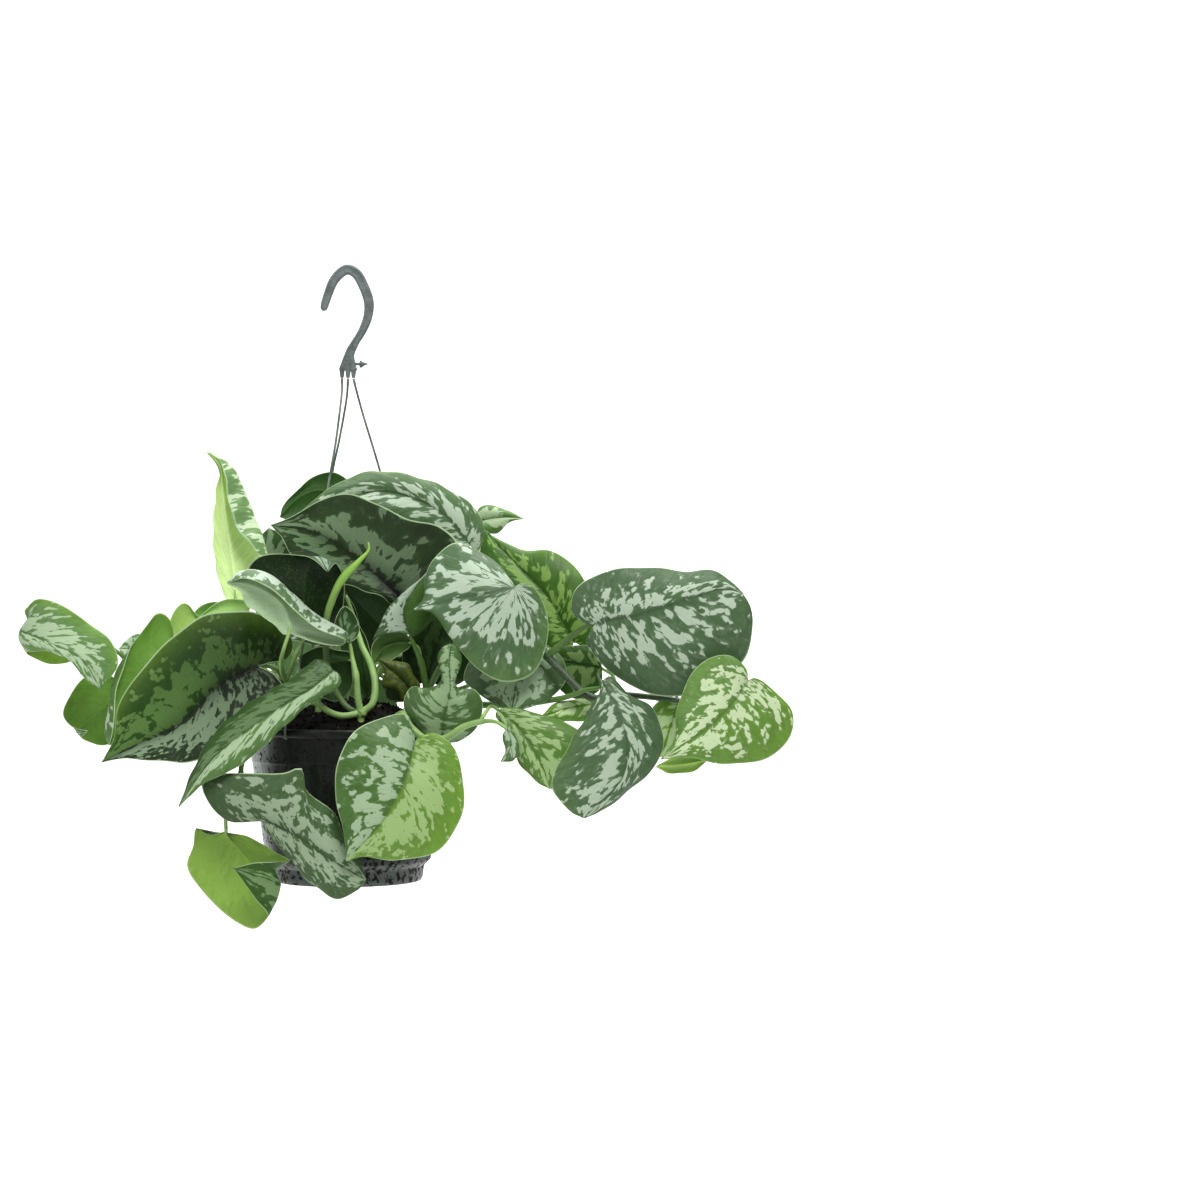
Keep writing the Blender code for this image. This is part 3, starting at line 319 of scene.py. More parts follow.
def hook_bar(rings=150, corners=44):
    """The bent bar: a rounded oblong section, pinched along the middle of both faces into a groove."""
    places = np.linspace(0, 1, rings)
    path = smooth(in_hook_plane(HOOK_LINE), places)
    widths = np.interp(places, HOOK_PLACES, HOOK_HALF_WIDTHS)
    ends = np.clip(np.sqrt(np.clip(np.minimum(places / 0.012, (1 - places) / 0.006), 0, 1)), 0.35, 1)
    angles = 2 * np.pi * (np.arange(corners) + 0.5) / corners
    side = np.sign(np.cos(angles)) * np.abs(np.cos(angles)) ** 0.75
    up = np.sign(np.sin(angles)) * np.abs(np.sin(angles)) ** 0.55
    groove = np.clip((0.62 - np.abs(side)) / 0.34, 0, 1)
    up = up * (1 - 0.3 * groove**2 * (3 - 2 * groove))
    along = unit(np.gradient(path, axis=0))
    across = np.cross(along, (0, 1, 0))
    points = (path[:, None] + side[None, :, None] * (widths * ends)[:, None, None] * across[:, None]
              + up[None, :, None] * ends[:, None, None] * HOOK_DEPTH / 2 * np.array([0, 1, 0]))
    return points.reshape(-1, 3), [face[::-1] for face in ring_faces(rings, corners)]


hook_bodies = [hook_bar()]
for nub in NUBS_ACROSS:
    hook_bodies.append(tube(in_hook_plane([(nub, down) for down in NUB_LINE]), NUB_RADII, 24))
for line, radii in ((SHAFT_LINE, SHAFT_RADII), (BARB_LINE, BARB_RADII)):
    hook_bodies.append(tube(in_hook_plane(line), radii, 20))

hook_plastic, start, wire = coat("hook_plastic", roughness=0.5, IOR=1.48)
place = place_of(start)
cloud = place.noise(130, detail=3)
specks = place.noise(1100, detail=2, roughness=0.6)
scuffs = place.noise(420, detail=4, roughness=0.7)
grey = start.colour(104, 114, 113).mix(linear(84, 93, 92), cloud.step(0.35, 0.65))
wire(Base_Color=grey.mix(linear(160, 168, 164), specks.step(0.6, 0.68) * 0.5).mix(
        linear(45, 50, 47), scuffs.step(0.58, 0.66) * 0.55),
     Roughness=0.42 + scuffs * 0.2,
     Normal=bumped(start, specks + scuffs, 0.25, 0.0004))
piece("hook", joined(hook_bodies), [hook_plastic], ["hanger_hook"])


# Strands
# Three stiff round strands in a darker plastic, pushed into the hook's sockets, that spread behind and beside
# the crown and end in toes that grip under the pot's lip.

STRAND_RADIUS = 0.9
STRAND_PLACES = np.append(np.linspace(0, 0.955, 90), np.linspace(0.958, 1, 24))
STRAND_SWELL = ((0, 0.01, 0.012, 0.985, 0.994, 0.999, 1), (1.25, 1.25, 1, 1, 1.1, 0.8, 0.3))
CLIP_ANGLES = (240, 120, 0)
CLIP = ((78.7, -326.0), (78.9, -336.0), (78.9, -341.0), (78.3, -344.2), (75.9, -344.6))
STRANDS = (
    [(342, 390, 2), (340, 409, 4), (336, 440, 9), (328, 487, 17), (320, 540, 24), (311, 595, 33), (302, 650, 44),
     (292, 695, 58)],
    [(347, 395, -3), (343, 420, -8), (338, 446, -13), (333, 469, -18), (323, 560, -38)],
    [(356.5, 391, 0), (364, 418, 0), (372, 444, 0), (380, 471, 0), (417, 600, 0)],
)

strand_plastic, start, wire = coat("strand_plastic", roughness=0.42, IOR=1.48)
place = place_of(start)
cloud = place.noise(90, detail=3)
grit = place.noise(1500, detail=2)
wire(Base_Color=start.colour(74, 88, 76).mix(linear(118, 130, 118), cloud.step(0.35, 0.7)).mix(
        linear(40, 44, 36), grit.step(0.6, 0.68) * 0.6),
     Roughness=0.36 + cloud * 0.2,
     Normal=bumped(start, grit, 0.2, 0.0003))

for number, (nub, points) in enumerate(zip(NUBS_ACROSS, STRANDS)):
    turn = math.radians(CLIP_ANGLES[number])
    outward = np.array([math.cos(turn), math.sin(turn), 0])
    top = in_hook_plane([(nub, NUB_LINE[-1])]) - (0, 0, 0.5)
    clip = [outward * radius + (0, 0, z) for radius, z in CLIP]
    path = smooth(np.vstack([top, real(points), clip]), STRAND_PLACES)
    strand = tube(path, STRAND_RADIUS * np.interp(STRAND_PLACES, *STRAND_SWELL), 14)
    piece(f"strand_{number + 1}", strand, [strand_plastic], [f"hanger_strand_{number + 1}"])


# Pot
# The tapered nursery pot, blow-thin black plastic with a rolled lip, a shallow step under it, a narrower foot
# and five drain holes. Damp mix has dried on it in crumbs and smears.

RIM_Z, FLOOR_Z, WALL = -338.0, -452.0, 1.4
POT_SIDE = [(74.0, -344.0), (72.3, -362.0), (72.45, -363.2), (71.8, -364.6), (64.2, -420.0), (61.5, -438.0),
            (56.8, -442.5)]
POT_FOOT = [(55.5, FLOOR_Z + 0.8), (54.5, FLOOR_Z - 1.8), (51.0, FLOOR_Z - 1.8), (50.0, FLOOR_Z - 0.9),
            (0.0, FLOOR_Z - 0.9)]
POT_LIP = [(75.6, -343.9), (76.9, -342.4), (77.0, -339.4), (76.2, RIM_Z), (74.4, RIM_Z)]
POT_INSIDE = [(54.0, FLOOR_Z + 0.5), (0.0, FLOOR_Z + 0.5)]
POT_SEGMENTS = 144
DRAIN_HOLES, DRAIN_RADIUS, DRAIN_CIRCLE, DRAIN_REACH = 5, 4.5, 34.0, 6


def eased(profile, reach=0.8):
    """The profile with each corner replaced by five points of a parabola drawn to it."""
    p = np.asarray(profile, float)
    corner = p[1:-1, None]
    legs = p[:-2, None] - corner, p[2:, None] - corner
    back, ahead = (leg * np.minimum(reach / np.linalg.norm(leg, axis=-1, keepdims=True), 0.45) for leg in legs)
    t = np.linspace(0, 1, 5)[None, :, None]
    curve = corner + back * (1 - t) ** 2 + ahead * t**2
    return np.vstack([p[:1], curve.reshape(-1, 2), p[-1:]])


def turned(profile, segments):
    """Closed body of a (radius, z) profile, turned about Z from the pole where it starts to the one where it ends."""
    middle = np.asarray(profile, float)[1:-1]
    heights = np.repeat(middle[:, None, 1:], segments, axis=1)
    rings = np.concatenate([middle[:, None, :1] * circle(segments), heights], axis=-1)
    points = np.vstack([rings.reshape(-1, 3), (0, 0, profile[0][1]), (0, 0, profile[-1][1])])
    first, last = np.arange(segments), np.arange(segments) + (len(middle) - 1) * segments
    low, high = np.full(segments, len(points) - 2), np.full(segments, len(points) - 1)
    fans = np.stack([low, np.roll(first, -1), first], axis=1).tolist()
    fans += np.stack([high, last, np.roll(last, -1)], axis=1).tolist()
    return points, ring_faces(len(middle), segments)[:-2] + fans


pot_plastic, start, wire = coat("pot_plastic", roughness=0.36, IOR=1.5, Specular_IOR_Level=0.2)
place = place_of(start)
x, y, z = place.parts()
cloud = place.noise(22, detail=4, roughness=0.6)
crumbs = place.noise(240, detail=4, roughness=0.65)
dust = place.noise(900, detail=2)
low = (z * -1000.0).step(425, 446)
streak = (x * 260.0).joined_with(y * 260.0, z * 22.0).noise(1.0, detail=3)
dirt = (crumbs + cloud * 0.35 + low * 0.06).step(0.735, 0.79)
film = (streak * 0.6 + cloud * 0.4).step(0.42, 0.66)
# Painted sheen: the pot's left side is mixed towards pale grey, as if lit from the left, more strongly where the film
# lies.
left_sheen = (x * -1000.0).step(46, 66)
plastic = start.colour(19, 23, 19).mix(linear(31, 36, 31), film).mix(linear(196, 202, 206), left_sheen * (0.6 + film * 0.4))
# Painted reflection: towards the bottom the plastic is mixed lighter grey.
plastic = plastic.mix(linear(96, 104, 100), low * 0.8)
plastic = plastic.mix(linear(70, 70, 58), dust.step(0.62, 0.72) * 0.25)
wire(Base_Color=plastic.mix(linear(17, 14, 10), dirt),
     Roughness=0.3 + film * 0.16 + dirt * 0.4,
     Normal=bumped(start, dirt + dust * 0.15, 0.5, 0.0007))

pot_wall = [(radius - WALL, height) for radius, height in POT_SIDE]
pot_profile = POT_FOOT[::-1] + POT_SIDE[::-1] + POT_LIP + pot_wall + POT_INSIDE
pot = piece("pot_dressed", turned(eased(pot_profile), POT_SEGMENTS), [pot_plastic], ["pot"])
drains = bpy.data.collections.new("drains")
for number in range(DRAIN_HOLES):
    turn = 2 * math.pi * number / DRAIN_HOLES
    x, y = DRAIN_CIRCLE * math.cos(turn), DRAIN_CIRCLE * math.sin(turn)
    ends = np.array([(x, y, FLOOR_Z - DRAIN_REACH), (x, y, FLOOR_Z + DRAIN_REACH)])
    points, faces = tube(ends, [DRAIN_RADIUS] * 2, 28)
    drains.objects.link(bpy.data.objects.new("drain", mesh_of("drain", points * MM, faces, smoothed=False)))
cut = pot.modifiers.new("drain_holes", "BOOLEAN")
cut.operand_type, cut.collection, cut.solver = "COLLECTION", drains, "EXACT"
bpy.context.view_layer.update()
pot.data = bpy.data.meshes.new_from_object(pot.evaluated_get(bpy.context.evaluated_depsgraph_get()))
pot.modifiers.clear()
for drain in list(drains.objects):
    bpy.data.objects.remove(drain)
bpy.data.collections.remove(drains)


# Potting mix
# A mound of dark peat and fine bark with a little perlite, filled into the pot above its rim and loose on top.
# The loose grains lie on the mound as one piece with it.

SOIL_EDGE_Z, SOIL_CROWN, SOIL_RADIUS = -345.0, 26.0, 73.0
SOIL_FOOT = [(0.0, FLOOR_Z + 1.2), (53.0, FLOOR_Z + 1.2), (54.8, -442.0), (59.5, -437.6), (62.4, -420.0),
             (70.2, -364.0)]
SOIL_SEGMENTS = 110
GRAINS, GRAIN_REACH = 1500, 71.0
GRAIN_COLOURS = ((16, 14, 10), (30, 24, 16), (52, 42, 28), (160, 156, 142))
GRAIN_SHARES = (0.6, 0.24, 0.13, 0.03)
ICOSAHEDRON = ((0, 11, 5), (0, 5, 1), (0, 1, 7), (0, 7, 10), (0, 10, 11), (1, 5, 9), (5, 11, 4), (11, 10, 2),
               (10, 7, 6), (7, 1, 8), (3, 9, 4), (3, 4, 2), (3, 2, 6), (3, 6, 8), (3, 8, 9), (4, 9, 5), (2, 4, 11),
               (6, 2, 10), (8, 6, 7), (9, 8, 1))


def soil_height(x, y):
    """The mound's height at (x, y): a paraboloid from its crown on the pot's axis down to its edge."""
    return SOIL_EDGE_Z + SOIL_CROWN * (1 - (x * x + y * y) / SOIL_RADIUS**2)


def rough_ground(x, y):
    """Lumps of the mix in millimetres: a sum of waves of several lengths and headings."""
    lumps = np.sin(x / 5.1 + 1.3) * np.sin(y / 6.3 - 0.4) + 0.6 * np.sin((x + y) / 3.2) * np.sin((x - 1.4 * y) / 3.9)
    return 0.9 * lumps + 0.5 * np.sin(x / 1.7 + y / 2.1) * np.sin(y / 1.9 - x / 2.6)


def grains(rng):
    """Uneven twenty-sided grains, each turned, stretched and sized at random and laid on the mound."""
    gold = (1 + 5**0.5) / 2
    corners = np.array([(-1, gold, 0), (1, gold, 0), (-1, -gold, 0), (1, -gold, 0), (0, -1, gold), (0, 1, gold),
                        (0, -1, -gold), (0, 1, -gold), (gold, 0, -1), (gold, 0, 1), (-gold, 0, -1), (-gold, 0, 1)])
    corners = corners / 1.9
    reach, turn = GRAIN_REACH * np.sqrt(rng.random(GRAINS)), 2 * np.pi * rng.random(GRAINS)
    x, y = reach * np.cos(turn), reach * np.sin(turn)
    size = 0.5 + 1.5 * rng.random(GRAINS) ** 2.5
    axes = unit(rng.normal(size=(GRAINS, 3, 3)))
    stretch = size[:, None] * (0.55 + 0.8 * rng.random((GRAINS, 3)))
    shapes = corners * (0.8 + 0.4 * rng.random((GRAINS, 12, 1)))
    points = np.einsum("gci,gi,gij->gcj", shapes, stretch, axes)
    points += np.stack([x, y, soil_height(x, y) + rough_ground(x, y) + 0.35 * size], axis=-1)[:, None]
    faces = (np.array(ICOSAHEDRON)[None] + 12 * np.arange(GRAINS)[:, None, None]).reshape(-1, 3)
    return points.reshape(-1, 3), faces.tolist()


def painted(made, name, values):
    """Keeps a colour or four numbers for each point of a mesh as the attribute called name."""
    layer = made.data.attributes.new(name, "FLOAT_COLOR", "POINT")
    layer.data.foreach_set("color", np.ascontiguousarray(values, np.float32).ravel())


def kept(start, name, output=0):
    """What a mesh keeps for its points under that name: as a colour, as three numbers (1) or the fourth (3)."""
    return start.node("ShaderNodeAttribute", output=output, attribute_name=name, attribute_type="GEOMETRY")


potting_mix, start, wire = coat("potting_mix", roughness=0.93, Specular_IOR_Level=0.1)
place = place_of(start)
clods = place.noise(420, detail=4, roughness=0.7)
fibre = place.noise(1600, detail=3, roughness=0.6)
crumb = kept(start, "grain").mix(linear(8, 8, 6), clods.step(0.4, 0.62) * 0.55)
wire(Base_Color=crumb.mix(linear(82, 74, 44), fibre.step(0.62, 0.7) * 0.25),
     Normal=bumped(start, clods + fibre * 0.4, 0.8, 0.0012))

mound_radii = np.linspace(SOIL_RADIUS - 0.8, 0, 40)
mound = [(radius, soil_height(radius, 0)) for radius in mound_radii]
points, faces = turned(SOIL_FOOT + mound, SOIL_SEGMENTS)
reach = np.linalg.norm(points[:, :2], axis=1)
top = points[:, 2] > soil_height(points[:, 0], points[:, 1]) - 0.5
points[top, 2] += rough_ground(points[top, 0], points[top, 1]) * np.clip((SOIL_RADIUS - reach[top]) / 4, 0, 1)
rng = np.random.default_rng(7)
soil = piece("potting_mix_dressed", joined([(points, faces), grains(rng)]), [potting_mix], ["soil"],
             smoothed=False)
shades = np.array([linear(*colour) for colour in GRAIN_COLOURS])
kinds = np.repeat(rng.choice(len(shades), GRAINS, p=GRAIN_SHARES), 12)
painted(soil, "grain", np.vstack([np.tile(linear(15, 13, 10), (len(points), 1)), shades[kinds]]))


# Leaf blades
# Each blade is one thick satin leaf of its own, folded a little along its midrib, some cupped or rolled back.
# The upper face is dark or lime green with splashed silver between the side veins, and the underside is plain.
# A blade is drawn as its rib from base to tip and its two margins, left and right as seen walking along the rib.

def leaf(rib, left, right, under=False, left_fold=None, right_fold=None, bow=3.0):
    """One blade: its rib from base to tip and its margins, left and right as seen walking along the rib.

    under means that the picture shows the underside, a fold is a line that the half rolls over, and bow is how
    many millimetres each half swells between its rib and its margin.
    """
    halves = [(left, left_fold), (right, right_fold)]
    return dict(rib=rib, halves=halves[::-1] if under else halves, bow=bow)


LEAVES = {
    "far_left": leaf(
        rib=[(60, 636, 8), (20, 630, 20), (50, 643, 40), (82, 660, 46), (101, 689, 40)],
        left=[(64, 613, 5), (44, 606, 7), (27, 607, 14), (24, 611, 22), (38, 599, 32), (62, 605, 38), (90, 624, 40),
              (111, 641, 42), (118, 664, 42)],
        right=[(72, 660, 6), (50, 664, 8), (27, 654, 15), (33, 651, 31), (58, 654, 40), (74, 664, 46),
               (88, 682, 44)]),
    "low_left": leaf(
        rib=[(128, 692, 12), (104, 708, 17), (84, 724, 18), (76, 732, 22), (88, 731, 28)],
        left=[(124, 730, 10), (106, 745, 13), (90, 743, 16), (82, 738, 21)],
        right=[(112, 676, 8), (85, 677, 12), (68, 699, 14), (63, 714, 16), (70, 726, 20)],
        under=True),
    "left_behind": leaf(
        rib=[(172, 650, 22), (146, 676, 26), (123, 712, 32), (109, 745, 40)],
        left=[(190, 672, 24), (178, 705, 28), (150, 730, 30), (122, 744, 34)],
        right=[(174, 632, 19), (167, 616, 20), (158, 613, 21), (147, 624, 23), (132, 647, 27), (123, 668, 34),
               (115, 702, 44), (113, 733, 50)],
        right_fold=[(173, 640, 19), (168, 630, 20), (161, 629, 21), (152, 637, 22), (139, 652, 26),
                    (119, 669, 30), (111, 702, 36), (106, 735, 42)],
        under=True),
    "left_lobe": leaf(
        rib=[(228, 645, 2), (198, 632, 6), (176, 640, 9), (156, 660, 11)],
        left=[(215, 665, 6), (190, 672, 9), (168, 671, 11)],
        right=[(222, 628, 0), (198, 615, 2), (184, 603, 2), (174, 611, 4), (165, 634, 8)],
        under=True),
    "left_edge": leaf(
        rib=[(240, 632, -16), (212, 622, -14), (186, 625, -12)],
        left=[(225, 645, -12), (200, 645, -12)],
        right=[(232, 606, -18), (214, 602, -16), (198, 608, -16)],
        under=True),
    "left_pale": leaf(
        rib=[(247, 617, 28), (225, 612, 28), (199, 617, 30)],
        left=[(236, 625, 30), (215, 624, 30)],
        right=[(249, 602, 24), (230, 599, 25), (212, 606, 28)],
        under=True),
    "left_big": leaf(
        rib=[(258, 666, 48), (224, 682, 50), (176, 726, 54), (130, 748, 54), (102, 762, 46)],
        left=[(275, 676, 52), (286, 693, 56), (262, 722, 62), (228, 750, 66), (190, 762, 66), (145, 760, 60),
              (118, 759, 52)],
        right=[(272, 662, 46), (287, 659, 41), (293, 645, 41), (287, 631, 45), (268, 618, 58), (245, 611, 74),
               (206, 615, 74), (176, 634, 70), (142, 669, 64), (118, 706, 56), (114, 738, 52), (106, 754, 48)],
        bow=-3.0),
    "left_long": leaf(
        rib=[(333, 671, 68), (314, 687, 75), (288, 703, 80), (252, 727, 86), (215, 757, 88), (190, 790, 84),
             (179, 807, 80)],
        left=[(339, 674, 66), (341, 681, 66), (335, 690, 70), (318, 699, 76), (290, 721, 84), (262, 748, 88),
              (236, 768, 90), (205, 783, 88), (190, 796, 84)],
        right=[(327, 663, 64), (317, 659, 66), (306, 667, 69), (285, 682, 70), (247, 704, 72), (215, 732, 75),
               (198, 759, 79), (186, 787, 80)]),
    "drape": leaf(
        rib=[(266, 820, 92), (300, 838, 98), (334, 862, 92), (366, 880, 88)],
        left=[(248, 821, 88), (228, 821, 83), (210, 806, 80), (202, 783, 78), (216, 775, 81), (240, 773, 87),
              (285, 773, 96), (301, 768, 98), (307, 790, 96), (334, 813, 90), (345, 840, 86), (360, 862, 86)],
        right=[(264, 828, 90), (280, 848, 92), (300, 872, 90), (318, 889, 88), (338, 899, 86), (358, 890, 86)]),
    "front": leaf(
        rib=[(414, 745, 84), (406, 778, 100), (382, 822, 106), (346, 861, 100)],
        left=[(418, 738, 82), (434, 733, 84), (452, 745, 84), (463, 778, 86), (461, 818, 90), (436, 852, 96),
              (395, 860, 100), (362, 857, 100)],
        right=[(414, 732, 82), (408, 716, 80), (388, 716, 86), (352, 734, 96), (337, 766, 100), (335, 794, 102),
               (342, 825, 102), (345, 845, 101)]),
    "lowest": leaf(
        rib=[(224, 832, 62), (240, 850, 66), (262, 876, 72), (281, 884, 80), (262, 877, 88), (233, 868, 92)],
        left=[(236, 834, 62), (252, 838, 64), (270, 849, 68), (289, 860, 76), (284, 862, 83), (262, 862, 90)],
        right=[(214, 835, 61), (206, 834, 59), (196, 828, 57), (193, 846, 58), (187, 866, 60), (203, 892, 64),
               (233, 920, 70), (255, 929, 74), (268, 916, 80), (256, 900, 86), (243, 881, 90)],
        under=True),
    "upright": leaf(
        rib=[(236, 604, 0), (233, 570, -4), (226, 520, -8), (222, 484, -10), (219, 464, -8), (206, 452, -4)],
        left=[(226, 598, 0), (216, 568, -2), (213, 530, -6), (216, 490, -8), (219, 468, -8)],
        right=[(250, 600, 2), (262, 575, 4), (257, 552, 8), (240, 533, 6), (230, 508, 4), (225, 478, 0),
               (220, 461, -4)],
        right_fold=[(252, 598, -2), (266, 572, -4), (262, 544, -6), (250, 512, -10), (240, 486, -12),
                    (230, 466, -12), (216, 455, -8)],
        under=True),
    "top_left": leaf(
        rib=[(345, 500, -3), (320, 490, -6), (298, 498, -3), (280, 517, 4)],
        left=[(338, 520, 1), (315, 528, 2), (292, 523, 4)],
        right=[(350, 484, -8), (334, 472, -10), (313, 477, -10), (295, 492, -6), (282, 508, 0)],
        under=True),
    "top": leaf(
        rib=[(470, 545, -10), (440, 512, 0), (385, 492, 12), (330, 503, 26), (296, 518, 32)],
        left=[(460, 552, -4), (430, 545, 2), (390, 525, 16), (350, 512, 27), (315, 515, 32)],
        right=[(478, 552, -16), (484, 530, -22), (478, 512, -24), (450, 490, -16), (405, 474, 2), (366, 472, 13),
               (330, 488, 25), (308, 505, 30)]),
    "crown": leaf(
        rib=[(400, 598, 16), (372, 572, 16), (345, 550, 22), (315, 532, 31), (271, 525, 42)],
        left=[(392, 604, 18), (382, 597, 24), (350, 586, 33), (318, 575, 38), (293, 557, 40), (281, 537, 41)],
        right=[(415, 600, 20), (445, 580, 26), (460, 548, 28), (440, 527, 27), (405, 518, 29), (375, 503, 33),
               (350, 494, 36), (318, 501, 38), (292, 517, 40)],
        bow=-3.0),
    "centre_under": leaf(
        rib=[(306, 637, 52), (304, 600, 49), (308, 572, 47), (317, 556, 50), (328, 572, 56)],
        left=[(292, 634, 54), (268, 612, 54), (245, 578, 54), (256, 558, 50), (290, 554, 47), (310, 558, 54)],
        right=[(320, 640, 46), (338, 625, 38), (344, 602, 37), (344, 580, 41), (336, 563, 50)],
        under=True),
    "centre_grey": leaf(
        rib=[(290, 634, 62), (283, 606, 61), (262, 590, 62), (240, 583, 64), (227, 583, 66)],
        left=[(284, 634, 64), (266, 618, 65), (248, 607, 66), (240, 592, 66)],
        right=[(315, 642, 61), (342, 646, 58), (346, 640, 61), (318, 630, 65), (293, 608, 69), (268, 588, 71),
               (245, 578, 69)],
        right_fold=[(315, 638, 56), (340, 641, 53), (346, 634, 53), (316, 616, 56), (292, 594, 58),
                    (266, 574, 61), (242, 571, 63)],
        under=True),
    "small_cup": leaf(
        rib=[(350, 643, 45), (344, 628, 43), (342, 616, 43), (345, 606, 46)],
        left=[(342, 640, 44), (336, 630, 46), (336, 618, 47), (340, 609, 47)],
        right=[(356, 638, 45), (359, 627, 45), (355, 614, 45)],
        bow=-2.0),
    "inner_hanging": leaf(
        rib=[(345, 592, 2), (356, 625, 6), (364, 660, 10), (368, 700, 14)],
        left=[(352, 602, 2), (362, 630, 4), (372, 655, 8), (378, 682, 12)],
        right=[(338, 605, 2), (338, 635, 4), (345, 665, 8), (356, 690, 12)],
        under=True),
    "inner_left": leaf(
        rib=[(352, 660, 26), (335, 662, 28), (318, 668, 30), (302, 676, 32)],
        left=[(350, 690, 24), (336, 702, 25), (320, 696, 27), (306, 690, 30)],
        right=[(350, 652, 26), (335, 650, 26), (318, 647, 28), (300, 657, 30)],
        under=True),
    "centre_silver": leaf(
        rib=[(411, 637, 32), (404, 620, 34), (406, 603, 34), (416, 586, 32), (430, 570, 28)],
        left=[(403, 629, 34), (388, 630, 36), (373, 640, 38), (381, 622, 36), (392, 604, 33), (405, 591, 30),
              (420, 582, 28)],
        right=[(421, 632, 28), (433, 620, 26), (438, 600, 26), (437, 582, 26)]),
    "centre_lobe": leaf(
        rib=[(412, 643, 24), (398, 643, 27), (384, 648, 29), (373, 664, 31)],
        left=[(407, 650, 25), (394, 658, 28), (380, 665, 30)],
        right=[(405, 634, 25), (389, 632, 28), (375, 641, 30), (371, 654, 31)],
        under=True),
    "right_big": leaf(
        rib=[(514, 588, 58), (490, 592, 64), (455, 599, 64), (430, 605, 60), (414, 610, 56)],
        left=[(520, 584, 56), (532, 586, 54), (546, 610, 54), (547, 640, 56), (534, 673, 60), (505, 682, 64),
              (475, 667, 66), (450, 636, 64), (432, 613, 60)],
        right=[(512, 582, 54), (500, 567, 46), (478, 550, 40), (453, 544, 40), (434, 558, 44), (425, 580, 48),
               (422, 600, 52)]),
    "right_back": leaf(
        rib=[(574, 642, 20), (548, 598, 16), (518, 566, 8), (485, 531, -4)],
        left=[(560, 651, 20), (530, 640, 20), (503, 600, 14), (480, 562, 2)],
        right=[(590, 648, 22), (600, 612, 20), (583, 578, 14), (567, 559, 9), (550, 551, 6), (520, 549, 2),
               (500, 540, -2)]),
    "right_tip": leaf(
        rib=[(474, 522, -64), (500, 518, -64), (524, 519, -62)],
        left=[(480, 508, -66), (494, 505, -66), (510, 512, -64)],
        right=[(484, 532, -62), (497, 534, -62), (508, 523, -62)]),
    "far_right": leaf(
        rib=[(597, 623, 74), (640, 614, 82), (690, 598, 84), (725, 589, 80), (743, 594, 76)],
        left=[(588, 624, 72), (572, 612, 70), (574, 592, 70), (598, 574, 70), (640, 567, 72), (685, 571, 74),
              (715, 571, 76), (732, 582, 76)],
        right=[(590, 632, 72), (586, 642, 70), (600, 662, 70), (633, 687, 72), (675, 697, 74), (715, 684, 74),
               (745, 658, 74), (753, 624, 76), (750, 606, 76)]),
    "lime_right": leaf(
        rib=[(748, 681, 90), (733, 702, 96), (710, 726, 98), (682, 746, 96), (661, 759, 92)],
        left=[(755, 678, 90), (776, 692, 88), (792, 712, 88), (790, 738, 90), (765, 759, 92), (725, 764, 94),
              (690, 758, 94)],
        right=[(746, 668, 90), (730, 656, 90), (707, 659, 88), (688, 680, 88), (677, 710, 88), (674, 740, 88),
               (668, 752, 90)]),
    "lime_flap": leaf(
        rib=[(708, 760, 82), (685, 764, 82), (656, 767, 82)],
        left=[(695, 770, 82), (672, 774, 82)],
        right=[(692, 755, 82), (672, 757, 82)],
        under=True),
    "hanging_right": leaf(
        rib=[(602, 681, 86), (618, 712, 94), (628, 748, 100), (618, 784, 100), (584, 818, 96)],
        left=[(610, 676, 84), (628, 694, 84), (650, 706, 82), (663, 734, 84), (658, 762, 86), (637, 784, 90),
              (612, 804, 94), (596, 814, 95)],
        right=[(597, 673, 84), (600, 690, 86), (586, 716, 88), (564, 754, 90), (551, 784, 92), (560, 801, 94),
               (572, 813, 95)]),
    "lime_left": leaf(
        rib=[(498, 710, 58), (520, 730, 64), (538, 758, 68), (550, 789, 68)],
        left=[(506, 708, 58), (530, 711, 58), (560, 721, 58), (584, 735, 62), (582, 762, 66), (566, 782, 68)],
        right=[(496, 716, 58), (505, 730, 60), (513, 750, 62), (522, 767, 64), (537, 782, 66)]),
    "under_right": leaf(
        rib=[(520, 645, 32), (518, 672, 41), (512, 712, 50)],
        left=[(535, 640, 28), (560, 655, 33), (566, 680, 38), (548, 700, 44), (528, 708, 48)],
        right=[(505, 642, 28), (480, 650, 30), (463, 678, 34), (479, 694, 41), (496, 705, 47)]),
    "lime_behind": leaf(
        rib=[(602, 668, 36), (575, 663, 32), (550, 660, 26)],
        left=[(600, 690, 36), (578, 699, 33), (556, 686, 27)],
        right=[(598, 650, 34), (570, 645, 30), (555, 651, 26)]),
    "lime_low": leaf(
        rib=[(596, 704, 44), (570, 708, 46), (541, 717, 44)],
        left=[(590, 718, 46), (568, 722, 46), (552, 720, 44)],
        right=[(588, 699, 42), (565, 701, 42), (550, 707, 42)]),
    "lime_between": leaf(
        rib=[(680, 700, 60), (672, 722, 62), (661, 757, 62)],
        left=[(692, 712, 58), (690, 735, 58), (676, 750, 60)],
        right=[(660, 700, 60), (645, 720, 60), (645, 742, 60)]),
    "swirl": leaf(
        rib=[(442, 741, 66), (444, 716, 70), (450, 694, 70), (449, 670, 68), (451, 644, 64)],
        left=[(425, 736, 64), (409, 719, 64), (404, 701, 62), (412, 686, 60), (430, 689, 61), (441, 681, 62),
              (438, 667, 62), (438, 655, 63), (445, 646, 64)],
        right=[(458, 742, 66), (476, 728, 64), (483, 702, 62), (474, 690, 62), (459, 689, 62), (456, 680, 62),
               (460, 667, 62), (461, 655, 63), (457, 646, 64)]),
    "old": leaf(
        rib=[(412, 692, 32), (398, 676, 34), (378, 660, 34)],
        left=[(402, 702, 32), (395, 690, 33), (382, 686, 34), (384, 671, 34)],
        right=[(421, 686, 31), (412, 674, 32), (408, 664, 33), (390, 660, 34)]),
    "small_tip": leaf(
